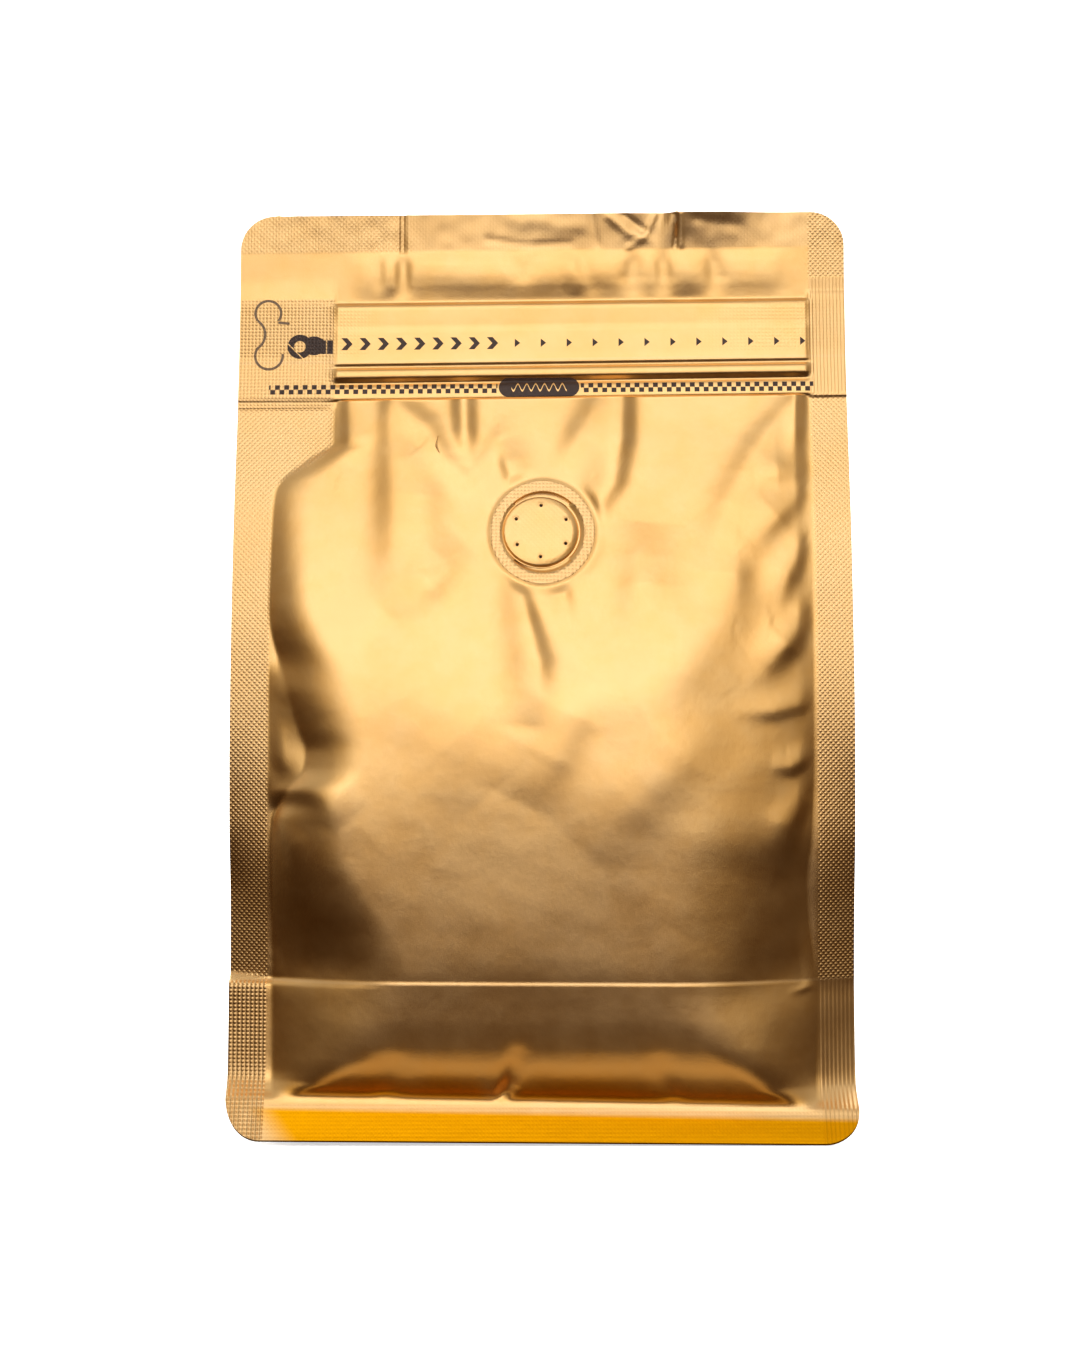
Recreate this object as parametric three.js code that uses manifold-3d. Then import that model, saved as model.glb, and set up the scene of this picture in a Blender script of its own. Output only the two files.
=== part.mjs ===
// Flat-bottom coffee pouch in gold foil film, filled and sealed, standing on its base.
// Five webs of film are heat-sealed together: a front and a back panel with flat seals all round,
// two side gussets that fold inwards towards the top, and a base. The front panel covers a
// press-to-close zipper with a tear-off strip and a pull tab, and holds a round degassing valve.
// Millimetres, +Z up, front towards -Y, origin under the middle of the base.
import * as THREE from "three";
import { mergeVertices } from "three/addons/utils/BufferGeometryUtils.js";
import Module from "manifold-3d";

// The pouch as it is sold: 130 mm wide, 200 mm long, 70 mm gusset
const PANEL_WIDTH = 130;
const HEIGHT = 196;
const SEAL_WIDTH = 8.5;
const CORNER_RADIUS = 7.3;
const FILM = 0.8;
const LEFT_SEAM = SEAL_WIDTH - PANEL_WIDTH / 2;
const RIGHT_SEAM = PANEL_WIDTH / 2 - SEAL_WIDTH;

// Foot: the bottom seal flares outwards from this line, and the panel is creased above it
const FOOT_LINE = 7.5;
const FOOT_FLARE = 1.04;
const FLARE_TIP = 0.6;
const FOOT_TUCK = 5.5;
const CREASE = 33;
const CREASE_DEPTH = 0.6;
const CREASE_SOFTNESS = 1.2;

// Zipper strip, pull-tab zone and head of the pouch
const STRIP_BOTTOM = 154.6;
const STRIP_TOP = 176.2;
const STRIP_LEFT = -44.5;
const STRIP_RISE = 0.9;
const STRIP_EDGE = 0.5;
const TRACK = { height: 161.7, width: 0.9, rise: 0.55 };
const GROOVE = { height: 159.7, width: 0.8, rise: -0.6 };
const HEAD_SEAL = 187.7;
const HEAD_SWELL = 1.3;
const HEAD_REACH = 11;
const SHOULDER_TOP = 145;
const SHOULDER_BOTTOM = 134;

// The two panels are one sheet above here, and lean back a little
const JOINED_ABOVE = 172;
const JOINT_OVERLAP = 0.1;
const LEAN_START = 163;
const LEAN_EASE = 6;
const HEAD_LEAN = 0.1;

// Degassing valve behind the film
const VALVE_HEIGHT = 126.2;
const VALVE_RING = 11.1;
const VALVE_DISC = 8.6;
const VALVE_GAP = 0.3;
const RING_RISE = 0.45;
const RING_BEVEL = 0.3;
const RING_ROOT = -3;
const SEAT_DEPTH = -1.6;
const DISC_BACK = -1.3;
const DISC_RISE = 0.36;
const PIN_CIRCLE = 5.9;
const PIN_RADIUS = 0.4;
const PINS = 6;
const ROUND_SIDES = 40;
const PIN_SIDES = 8;

// Half depth at the side seams, from the foot to the head: [height, depth]
const SEAM_DEPTH = [
  [FOOT_LINE, 33.9], [9.5, 32.8], [12, 31.6], [14, 31.0], [20, 30.0], [27, 29.1], [CREASE, 27.6], [44, 27.3],
  [59, 27.7], [73, 26.8], [88, 25.1], [100, 23.1], [115, 19.8], [130, 15.4], [STRIP_BOTTOM, 5.6], [166, 1.9],
  [STRIP_TOP, 0.9], [HEIGHT, 0.7],
];
// How far the middle of a panel swells out past its seams: [height, swell]
const SWELL = [
  [FOOT_LINE, 0.3], [9, 2.1], [11, 4.2], [14, 6.6], [17, 8.1], [20, 9.0], [26, 10.0], [CREASE, 11.5],
  [44, 11.6], [59, 10.2], [73, 9.1], [88, 7.7], [100, 5.9], [115, 3.6], [130, 1.9], [STRIP_BOTTOM, 1.4],
];
// How far in from a seam the swell is full: [height, reach], and how steeply it starts
const REACH = [
  [FOOT_LINE, 5], [12, 14], [20, 22], [CREASE, 28], [50, 29], [66, 25], [90, 21], [114, 16], [130, 12],
  [STRIP_BOTTOM, 8],
];
const ROUNDNESS = 0.8;
const FOLD_REACH = 5;
// How far the side fins turn back towards their edges: [height, millimetres back per millimetre out]
const LEFT_TURN = [[FOOT_LINE, 0], [12, 0.1], [24, 0.16], [36, 0.3], [50, 0.3], [66, 0.16], [88, 0]];
const RIGHT_TURN = [[FOOT_LINE, 0], [12, 0.36], [24, 0.46], [36, 0.42], [50, 0.34], [66, 0.18], [88, 0]];
// The back panel's swell above the zipper's height, where the front is held flat
const BACK_NECK = [[STRIP_BOTTOM, 1.4], [163, 1.7], [172, 1.4], [184, 0.5], [HEAD_SEAL, 0]];
// How far a side gusset folds in from the seams: [height, fold]
const GUSSET_FOLD = [
  [0, 0.5], [CREASE, 1.5], [60, 4], [80, 8], [100, 13.5], [120, 20], [140, 25], [STRIP_BOTTOM, 22],
  [166, 7], [JOINED_ABOVE, 0.4], [HEIGHT, 0.4],
];
const LEG_STEPS = 6;
const LEG_ROUNDNESS = 1.2;
const LEG_BOW = 0.16;
const BOW_FADE = 30;

// Folds of the front film. Each runs from one point to another, and is a ridge or a valley.
const FOLDS = [
  // the pleats that hang from the zipper
  { from: [-16.3, 155], to: [-15.4, 140], width: [2.2, 2.6], height: [0.8, 0.5] },
  { from: [-20.4, 154], to: [-18.4, 141], width: [1.8, 1.8], height: [-0.6, -0.5] },
  { from: [-12.0, 152], to: [-13.0, 139], width: [1.6, 1.8], height: [-0.5, -0.5] },
  { from: [-31.4, 152], to: [-20.6, 139], width: [2.6, 3.0], height: [0.5, 0.3] },
  { from: [-35.6, 152], to: [-34.6, 112], width: [2.2, 4.4], height: [-0.7, -0.3] },
  { from: [-40.4, 153], to: [-39.6, 128], width: [2.0, 3.4], height: [0.4, 0.2] },
  { from: [19.1, 155], to: [13.2, 137], width: [2.0, 2.8], height: [0.8, 0.4] },
  { from: [21.6, 155], to: [20.2, 140], width: [1.8, 2.2], height: [-0.8, -0.6] },
  { from: [20.2, 140], to: [13.0, 127], width: [2.2, 2.2], height: [-0.5, -0.3] },
  { from: [12.6, 150], to: [3.7, 140], width: [3.2, 2.6], height: [-0.4, -0.3] },
  { from: [54.8, 155], to: [42.0, 133], width: [2.4, 4.0], height: [0.7, 0.5] },
  { from: [42.0, 133], to: [37.0, 111], width: [4.0, 5.0], height: [0.5, 0.3] },
  { from: [49.0, 150], to: [35.4, 127], width: [2.8, 4.4], height: [-0.6, -0.3] },
  // the folds that meet the valve
  { from: [-10.2, 143], to: [-8.2, 135], width: [1.4, 1.4], height: [-0.5, -0.5] },
  { from: [-2.8, 113], to: [0.6, 103], width: [1.6, 2.4], height: [-1.0, -0.8] },
  { from: [0.6, 103], to: [3.0, 94], width: [2.4, 3.6], height: [-0.7, -0.3] },
  { from: [2.6, 111], to: [6.4, 97], width: [2.4, 3.8], height: [0.5, 0.3] },
  { from: [-19.6, 118], to: [-15.0, 111], width: [3.2, 3.6], height: [-0.5, -0.4] },
  { from: [20.8, 121], to: [20.4, 112], width: [3.0, 3.6], height: [-0.5, -0.4] },
  // the buckles along the left seam
  { from: [-52.5, 109], to: [-45.0, 94], width: [4.0, 5.0], height: [-1.0, -2.1] },
  { from: [-45.0, 94], to: [-40.2, 77.5], width: [5.0, 4.4], height: [-2.1, -1.7] },
  { from: [-54.5, 79], to: [-45.0, 69.5], width: [2.6, 3.4], height: [0.7, 0.9] },
  { from: [-54.6, 72], to: [-47.6, 64.5], width: [2.4, 2.6], height: [-1.0, -0.9] },
  { from: [-49.6, 60], to: [-48.4, 45], width: [2.6, 3.0], height: [-1.0, -0.9] },
  { from: [-50.0, 39], to: [-38.0, 39], width: [9.0, 9.0], height: [-1.2, -1.1] },
  // the buckles along the right seam
  { from: [54.8, 129], to: [46.8, 121], width: [1.8, 2.6], height: [-0.8, -0.5] },
  { from: [53.8, 117], to: [50.0, 108.5], width: [2.0, 2.4], height: [-0.9, -0.6] },
  { from: [54.6, 104], to: [48.0, 98], width: [1.6, 1.6], height: [-0.7, -0.3] },
  { from: [54.6, 65], to: [48.0, 64.4], width: [2.6, 2.6], height: [-1.3, -0.7] },
  { from: [51.6, 53], to: [51.6, 39], width: [2.6, 3.2], height: [-0.9, -0.9] },
  { from: [40.0, 35], to: [50.0, 35], width: [8.0, 7.0], height: [-1.2, -1.2] },
  // the dents in the swell above the zipper
  { from: [-29.9, 187], to: [-29.9, 178], width: [1.4, 1.7], height: [-0.9, -0.9] },
  { from: [20.6, 187], to: [20.5, 179], width: [1.6, 1.7], height: [-0.9, -0.9] },
  { from: [25.6, 187], to: [25.6, 179], width: [1.4, 1.5], height: [-0.9, -0.9] },
  { from: [35.2, 187], to: [35.6, 179], width: [1.6, 1.7], height: [-0.9, -0.9] },
  { from: [-4.0, 187], to: [-3.2, 182], width: [3.4, 2.4], height: [-0.5, -0.5] },
];
// The back film has fewer of them
const BACK_FOLDS = [
  { from: [-28, 168], to: [-19, 128], width: [2.8, 5.0], height: [1.2, 0.6] },
  { from: [-15, 166], to: [-11, 132], width: [2.4, 4.0], height: [-1.0, -0.6] },
  { from: [24, 168], to: [16, 130], width: [2.6, 4.6], height: [-1.2, -0.6] },
  { from: [37, 166], to: [34, 118], width: [2.8, 5.0], height: [1.0, 0.5] },
  { from: [-52, 97], to: [-41, 80], width: [3.4, 4.2], height: [-1.6, -1.8] },
  { from: [52, 104], to: [44, 84], width: [3.2, 4.0], height: [-1.5, -1.6] },
  { from: [-50, 39], to: [-38, 39], width: [9.0, 9.0], height: [-1.2, -1.1] },
  { from: [50, 36], to: [39, 36], width: [8.0, 8.0], height: [-1.2, -1.2] },
];

const clamp01 = (t) => Math.min(1, Math.max(0, t));
const smooth = (t) => clamp01(t) ** 2 * (3 - 2 * clamp01(t));
const mix = (a, b, t) => a + (b - a) * t;
const step = (value, edge, soft) => smooth((value - edge) / soft + 0.5);

// A smooth curve through stations of [height, value], which never overshoots them
function along(stations, height) {
  const last = stations.length - 1;
  if (height <= stations[0][0]) return stations[0][1];
  if (height >= stations[last][0]) return stations[last][1];
  const slope = (i) => (stations[i + 1][1] - stations[i][1]) / (stations[i + 1][0] - stations[i][0]);
  const tangent = (i) => {
    if (i === 0 || i === last) return slope(Math.min(i, last - 1));
    const [before, after] = [slope(i - 1), slope(i)];
    return before * after <= 0 ? 0 : (2 * before * after) / (before + after);
  };
  const i = stations.findIndex((s) => s[0] > height) - 1;
  const span = stations[i + 1][0] - stations[i][0];
  const t = (height - stations[i][0]) / span;
  return stations[i][1] * (1 + 2 * t) * (1 - t) ** 2 + stations[i + 1][1] * t * t * (3 - 2 * t)
    + span * (tangent(i) * t * (1 - t) ** 2 - tangent(i + 1) * t * t * (1 - t));
}

// A fold's height at a point: full along its line, and dying away over its width
function fold({ from, to, width, height }, x, z) {
  const [dx, dz] = [to[0] - from[0], to[1] - from[1]];
  const t = clamp01(((x - from[0]) * dx + (z - from[1]) * dz) / (dx * dx + dz * dz));
  const away = Math.hypot(x - from[0] - t * dx, z - from[1] - t * dz) / mix(width[0], width[1], t);
  return mix(height[0], height[1], t) * Math.exp(-away * away);
}

// The left seam steps in below the pull tab, round a wide seal
function leftSeam(z) {
  const out = smooth((SHOULDER_TOP - z) / (SHOULDER_TOP - SHOULDER_BOTTOM));
  return mix(STRIP_LEFT, LEFT_SEAM, out);
}

// 0 on a seam, rising to 1 well inside the panel
function inside(x, z, reach, left = leftSeam(z)) {
  const rise = (away) => smooth(away / reach) ** ROUNDNESS;
  return rise(x - left) * rise(RIGHT_SEAM - x);
}

// How far the side fins stand back from the plane of the seams
function finTurn(x, z) {
  const turn = along(x < 0 ? LEFT_TURN : RIGHT_TURN, z);
  return turn * Math.max(0, Math.abs(x) - RIGHT_SEAM);
}

// How far the head leans back, both panels together
function lean(z) {
  const above = Math.max(0, z - LEAN_START);
  return (HEAD_LEAN * above * above) / (above + LEAN_EASE);
}

const seamDepth = (x, z) => along(SEAM_DEPTH, z) + FOOT_FLARE * Math.max(0, FOOT_LINE - z) - finTurn(x, z);
const bump = ({ height, width, rise }, z) => rise * Math.exp(-(((z - height) / width) ** 2));

// The swell of the filled part, with the crease pressed into it
function bodySwell(x, z, left) {
  const share = inside(x, z, along(REACH, z), left);
  const crease = CREASE_DEPTH * Math.exp(-Math.abs(z - CREASE) / CREASE_SOFTNESS);
  return along(SWELL, z) * share - crease * Math.min(1, 3 * share);
}

// The zipper strip: a flat tear strip over a rounded track, with a groove between them
function stripRelief(x, z) {
  const across = step(x, STRIP_LEFT, STRIP_EDGE) * (1 - step(x, RIGHT_SEAM, STRIP_EDGE));
  const plate = step(z, STRIP_BOTTOM, STRIP_EDGE) * (1 - step(z, STRIP_TOP, STRIP_EDGE));
  return across * plate * (STRIP_RISE + bump(TRACK, z) + bump(GROOVE, z));
}

// How far the front film stands out past the plane of its side seals
function frontRelief(x, z) {
  if (z <= FOOT_LINE) return 0;
  const folds = FOLDS.reduce((sum, f) => sum + fold(f, x, z), 0);
  if (z < STRIP_BOTTOM) return bodySwell(x, z) + folds * inside(x, z, FOLD_REACH) + stripRelief(x, z);
  const head = Math.sin(Math.PI * clamp01((z - STRIP_TOP) / (HEAD_SEAL - STRIP_TOP)));
  return head * (HEAD_SWELL + folds) * inside(x, z, HEAD_REACH, STRIP_LEFT) + stripRelief(x, z);
}

function backRelief(x, z) {
  if (z <= FOOT_LINE || z >= HEAD_SEAL) return 0;
  const folds = BACK_FOLDS.reduce((sum, f) => sum + fold(f, x, z), 0);
  const neck = clamp01((HEAD_SEAL - z) / FOLD_REACH);
  const swell = z < STRIP_BOTTOM
    ? bodySwell(x, z, LEFT_SEAM)
    : along(BACK_NECK, z) * inside(x, z, along(REACH, z), LEFT_SEAM);
  return swell + folds * neck * inside(x, z, FOLD_REACH, LEFT_SEAM);
}

const frontFace = (x, z) => lean(z) - seamDepth(x, z) - frontRelief(x, z);
const backFace = (x, z) => lean(z) + seamDepth(x, z) + backRelief(x, z);

// The panels are rectangles with round corners: a column of the seal closes in near the ends
function withinCorners(x, z) {
  const fromEnd = Math.min(z - FLARE_TIP, HEIGHT - z);
  const cut = CORNER_RADIUS - Math.sqrt(Math.max(0, CORNER_RADIUS ** 2 - Math.max(0, CORNER_RADIUS - fromEnd) ** 2));
  const beyond = Math.max(0, Math.abs(x) - RIGHT_SEAM);
  return Math.sign(x) * (Math.abs(x) - beyond + (beyond * (SEAL_WIDTH - cut)) / SEAL_WIDTH);
}

// Spacing of the faceted film: front and back columns, rows, and columns at the seams
const FRONT_GAP = 2.6;
const BACK_GAP = 8;
const ROW_GAP = 3.6;
const SEAM_GAP = 1.5;
const SEAM_ZONE = 6;
const CORE_TOP = 174;

const spaced = (from, to, gap) => {
  const count = Math.max(1, Math.round(Math.abs(to - from) / gap));
  return Array.from({ length: count }, (_, i) => from + ((to - from) * i) / count);
};

function columns(gap) {
  const half = PANEL_WIDTH / 2;
  return [
    ...spaced(-half, LEFT_SEAM, SEAL_WIDTH / 2),
    ...spaced(LEFT_SEAM, LEFT_SEAM + SEAM_ZONE, SEAM_GAP),
    ...spaced(LEFT_SEAM + SEAM_ZONE, STRIP_LEFT - STRIP_EDGE / 2, gap),
    ...spaced(STRIP_LEFT - STRIP_EDGE / 2, STRIP_LEFT + STRIP_EDGE / 2, STRIP_EDGE),
    ...spaced(STRIP_LEFT + STRIP_EDGE / 2, RIGHT_SEAM - SEAM_ZONE, gap),
    ...spaced(RIGHT_SEAM - SEAM_ZONE, RIGHT_SEAM, SEAM_GAP),
    ...spaced(RIGHT_SEAM, half, SEAL_WIDTH / 2),
    half,
  ];
}

function rows(gap) {
  const edge = STRIP_EDGE / 2;
  return [
    FLARE_TIP, 1.2, 2.6, 4.8, FOOT_LINE, 8.6, 10.4, 13, 16.4, 20, 25, 29, 31.6, CREASE, 34.4,
    ...spaced(37.5, 108, 1.3 * gap),
    ...spaced(108, STRIP_BOTTOM - 1.6, gap),
    STRIP_BOTTOM - 1.6, STRIP_BOTTOM - edge, STRIP_BOTTOM + edge, 157.6, 159, GROOVE.height, 160.5,
    TRACK.height, 163, 165.5, 170.5, STRIP_TOP - edge, STRIP_TOP + edge, 177.4,
    180, 183, 186, HEAD_SEAL, 190.2, 192.3, 194, 195.3, HEIGHT,
  ];
}

// A closed body between two faces given over the same columns and rows
function slab(xs, zs, front, back) {
  const [wide, tall] = [xs.length, zs.length];
  const points = [];
  for (const face of [front, back])
    for (const z of zs)
      for (const x of xs) points.push(withinCorners(x, z), face(x, z), z);
  const at = (side, row, column) => side * wide * tall + row * wide + column;
  const faces = [];
  const quad = (a, b, c, d) => faces.push(a, b, c, a, c, d);
  for (let r = 0; r < tall - 1; r++)
    for (let c = 0; c < wide - 1; c++) {
      quad(at(0, r, c), at(0, r, c + 1), at(0, r + 1, c + 1), at(0, r + 1, c));
      quad(at(1, r, c + 1), at(1, r, c), at(1, r + 1, c), at(1, r + 1, c + 1));
    }
  for (let c = 0; c < wide - 1; c++) {
    quad(at(1, 0, c), at(1, 0, c + 1), at(0, 0, c + 1), at(0, 0, c));
    quad(at(0, tall - 1, c), at(0, tall - 1, c + 1), at(1, tall - 1, c + 1), at(1, tall - 1, c));
  }
  for (let r = 0; r < tall - 1; r++) {
    quad(at(1, r, 0), at(0, r, 0), at(0, r + 1, 0), at(1, r + 1, 0));
    quad(at(0, r, wide - 1), at(1, r, wide - 1), at(1, r + 1, wide - 1), at(0, r + 1, wide - 1));
  }
  return geometryOf(points, faces);
}

function geometryOf(points, faces) {
  const geometry = new THREE.BufferGeometry();
  geometry.setAttribute("position", new THREE.Float32BufferAttribute(points, 3));
  geometry.setIndex(faces);
  return geometry;
}

// The filled inside: rings of points from the base up, each with its two gusset folds
function core(xs, backXs, zs) {
  const half = FILM / 2;
  const ring = (z) => {
    const seam = Math.max(z, FOOT_LINE);
    const tuck = FOOT_TUCK * (1 - Math.sqrt(1 - (1 - clamp01(z / FOOT_LINE)) ** 2));
    const [left, right] = [LEFT_SEAM + tuck, RIGHT_SEAM - tuck];
    const squeeze = (x) => mix(left, right, (x - LEFT_SEAM) / (RIGHT_SEAM - LEFT_SEAM));
    const depth = seamDepth(RIGHT_SEAM, seam) - half - tuck;
    const leg = (side, t) => {
      const s = 1 - Math.abs(1 - 2 * t);
      const bow = LEG_BOW * depth * Math.sin(Math.PI * s) * smooth((JOINED_ABOVE - z) / BOW_FADE);
      const edge = side > 0 ? right : left;
      return [edge - side * (along(GUSSET_FOLD, z) * s ** LEG_ROUNDNESS - bow), mix(-depth, depth, t) + lean(z)];
    };
    const turns = Array.from({ length: 2 * LEG_STEPS - 1 }, (_, k) => (k + 1) / (2 * LEG_STEPS));
    const points = [
      ...xs.map((x) => [squeeze(x), frontFace(x, seam) + half + tuck]),
      ...turns.map((t) => leg(1, t)),
      ...backXs.toReversed().map((x) => [squeeze(x), backFace(x, seam) - half - tuck]),
      ...turns.toReversed().map((t) => leg(-1, t)),
    ];
    return points.map(([x, y]) => [x, y, z]);
  };
  const rings = zs.map(ring);
  const size = rings[0].length;
  const points = rings.flat(2);
  const faces = [];
  for (let r = 0; r < rings.length - 1; r++)
    for (let k = 0; k < size; k++) {
      const next = (k + 1) % size;
      const [a, b, c, d] = [r * size + k, r * size + next, (r + 1) * size + next, (r + 1) * size + k];
      faces.push(a, b, c, a, c, d);
    }
  for (const [r, flip] of [[0, true], [rings.length - 1, false]]) {
    const contour = rings[r].map(([x, y]) => new THREE.Vector2(x, y));
    for (const [a, b, c] of THREE.ShapeUtils.triangulateShape(contour, [])) {
      const corner = [a, b, c].map((k) => r * size + k);
      faces.push(...(flip ? corner.reverse() : corner));
    }
  }
  return geometryOf(points, faces);
}

// The valve's own frame: its axis stands square to the leaning front film
const filmDepth = (z) => frontFace(0, z);
const [overValve, underValve] = [filmDepth(VALVE_HEIGHT + VALVE_RING), filmDepth(VALVE_HEIGHT - VALVE_RING)];
const VALVE_LEAN = Math.atan2(overValve - underValve, 2 * VALVE_RING);
const VALVE_CENTRE = (overValve + underValve) / 2;

function onFilm(geometry) {
  return geometry.clone().rotateX(-VALVE_LEAN).translate(0, VALVE_CENTRE, VALVE_HEIGHT);
}

// A solid of revolution about the valve's axis, which points along -Y; profile is [radius, out]
function turned(profile, sides) {
  const points = profile.map(([r, out]) => new THREE.Vector2(r, out));
  return new THREE.LatheGeometry(points, sides).rotateX(Math.PI);
}

const wasm = await Module();
wasm.setup();
const MERGE_WITHIN = 1e-4;
const SIMPLIFY_WITHIN = 0.015;

function solid(geometry) {
  const bare = geometry.clone();
  for (const name of ["normal", "uv"]) bare.deleteAttribute(name);
  const merged = mergeVertices(bare, MERGE_WITHIN);
  return new wasm.Manifold(new wasm.Mesh({
    numProp: 3,
    vertProperties: merged.attributes.position.array,
    triVerts: new Uint32Array(merged.index.array),
  }));
}

function fromSolid(made) {
  const { vertProperties, triVerts } = made.getMesh();
  const geometry = geometryOf(Array.from(vertProperties), Array.from(triVerts));
  geometry.computeVertexNormals();
  return geometry;
}

// The pouch: core, both panels and the ring sealed round the valve, with a seat for the disc
function pouch() {
  const [xs, backXs, zs] = [columns(FRONT_GAP), columns(BACK_GAP), rows(ROW_GAP)];
  const behindFront = (x, z) => (z > JOINED_ABOVE ? lean(z) + JOINT_OVERLAP : frontFace(x, z) + FILM);
  const behindBack = (x, z) => (z > JOINED_ABOVE ? lean(z) - JOINT_OVERLAP : backFace(x, z) - FILM);
  const front = solid(slab(xs, zs, frontFace, behindFront));
  const back = solid(slab(backXs, zs, behindBack, backFace));
  const filled = (list) => list.filter((x) => x >= LEFT_SEAM && x <= RIGHT_SEAM);
  const levels = [0, ...zs.filter((z) => z > FLARE_TIP && z <= CORE_TOP)];
  const inner = solid(core(filled(xs), filled(backXs), levels));
  const ring = turned([
    [VALVE_DISC - 1, RING_ROOT], [VALVE_RING, RING_ROOT], [VALVE_RING, RING_RISE - RING_BEVEL],
    [VALVE_RING - RING_BEVEL, RING_RISE], [VALVE_DISC - 1, RING_RISE], [VALVE_DISC - 1, RING_ROOT],
  ], ROUND_SIDES);
  const seat = turned([[0, SEAT_DEPTH], [VALVE_DISC, SEAT_DEPTH], [VALVE_DISC, -RING_ROOT], [0, -RING_ROOT]], ROUND_SIDES);
  const joined = inner.add(front).add(back).add(solid(onFilm(ring))).subtract(solid(onFilm(seat)));
  const outermost = joined.decompose().reduce((a, b) => (a.volume() > b.volume() ? a : b));
  return outermost.asOriginal().simplify(SIMPLIFY_WITHIN);
}

// The valve's disc: a shallow dome with a circle of pin holes, the first of them at the top
function valve() {
  const rim = VALVE_DISC - VALVE_GAP;
  const dome = turned([
    [0, DISC_BACK], [rim, DISC_BACK], [rim, -0.2], [rim - 0.5, 0.1], [rim / 2, 0.85 * DISC_RISE], [0, DISC_RISE],
  ], ROUND_SIDES);
  let disc = solid(dome);
  for (let k = 0; k < PINS; k++) {
    const turn = Math.PI / 2 + (2 * Math.PI * k) / PINS;
    const pin = turned([[0, -2], [PIN_RADIUS, -2], [PIN_RADIUS, 2], [0, 2]], PIN_SIDES)
      .translate(PIN_CIRCLE * Math.cos(turn), 0, PIN_CIRCLE * Math.sin(turn));
    disc = disc.subtract(solid(pin));
  }
  return solid(onFilm(fromSolid(disc)));
}

const goldFilm = new THREE.MeshStandardMaterial({ color: 0xe6b86a, metalness: 1, roughness: 0.36 });
const valveFilm = new THREE.MeshStandardMaterial({ color: 0xe9bd72, metalness: 1, roughness: 0.4 });

function node(name, made, material) {
  const mesh = new THREE.Mesh(fromSolid(made), material);
  mesh.name = name;
  return mesh;
}

const bag = new THREE.Group();
bag.name = "coffee_pouch";
bag.add(node("pouch", pouch(), goldFilm));
bag.add(node("valve", valve(), valveFilm));

export default bag;
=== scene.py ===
import math

import bpy
import numpy as np
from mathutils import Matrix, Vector


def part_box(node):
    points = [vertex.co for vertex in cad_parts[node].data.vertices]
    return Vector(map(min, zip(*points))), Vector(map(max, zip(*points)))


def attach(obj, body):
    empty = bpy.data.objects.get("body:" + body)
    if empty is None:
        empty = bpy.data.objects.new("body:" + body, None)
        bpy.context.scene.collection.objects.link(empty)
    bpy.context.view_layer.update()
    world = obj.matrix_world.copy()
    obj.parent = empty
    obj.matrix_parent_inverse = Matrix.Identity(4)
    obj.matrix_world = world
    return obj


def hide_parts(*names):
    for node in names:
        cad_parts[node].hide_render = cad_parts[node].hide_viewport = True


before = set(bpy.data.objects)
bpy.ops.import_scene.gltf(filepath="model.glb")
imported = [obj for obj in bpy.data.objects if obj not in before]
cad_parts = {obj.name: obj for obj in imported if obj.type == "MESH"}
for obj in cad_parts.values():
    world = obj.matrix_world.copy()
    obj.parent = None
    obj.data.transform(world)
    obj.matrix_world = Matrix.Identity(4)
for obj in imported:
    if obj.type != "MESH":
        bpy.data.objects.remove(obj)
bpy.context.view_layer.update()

# The camera stands level in front of the pouch, half as high as it and about four pouch
# heights away, so that the outline is as wide in the picture at each height as in the photograph.
MM = 0.001
CAMERA_PLACE = (-0.5, -732, 96)
CAMERA_LENS = 90.7
camera_data = bpy.data.cameras.new("studio_camera")
camera_data.lens = CAMERA_LENS
camera_data.sensor_width = 36
camera_data.clip_start = 0.01
camera = bpy.data.objects.new("studio_camera", camera_data)
camera.location = Vector(CAMERA_PLACE) * MM
camera.rotation_euler = (math.pi / 2, 0, 0)
bpy.context.collection.objects.link(camera)
bpy.context.scene.camera = camera

# The front film: one web of satin gold metallised laminate, heat-sealed to the side gussets along
# both edges, to the base along the foot and to the back film along the head. The press-to-close
# zipper, its tear strip and the valve are sealed behind it and show through as relief.
pouch_high = [np.array(corner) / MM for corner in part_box("pouch")][1]
HALF_WIDTH = pouch_high[0]
HEIGHT = pouch_high[2]
CORNER_RADIUS = 7.3
FILM = 0.3
HEAD_SEAL_FILM = 0.62
FOOT_LINE = 7.5
FLARE_TIP = 0.6
CREASE = 33
ZIP_BOTTOM = 154.9
ZIP_TOP = 176.4
HEAD_SEAL = 187.9
TAB_EDGE = -44.5

# Edges of the seals, where the film leaves the flat: [height, x]
LEFT_SEAM = [
    (0, -55.6), (20, -55.4), (33, -56.0), (41, -57.2), (64, -57.0), (110, -57.1), (130, -56.8),
    (134.4, -56.4),
    (137.6, -55.0), (140, -52.3), (142.9, -48.3), (145.6, TAB_EDGE), (HEIGHT, TAB_EDGE),
]
RIGHT_SEAM = [
    (0, 56.2), (31, 57.0), (38, 56.2), (46, 55.2), (54, 54.9), (64, 56.0), (80, 56.6), (HEIGHT, 57.1),
]
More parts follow.
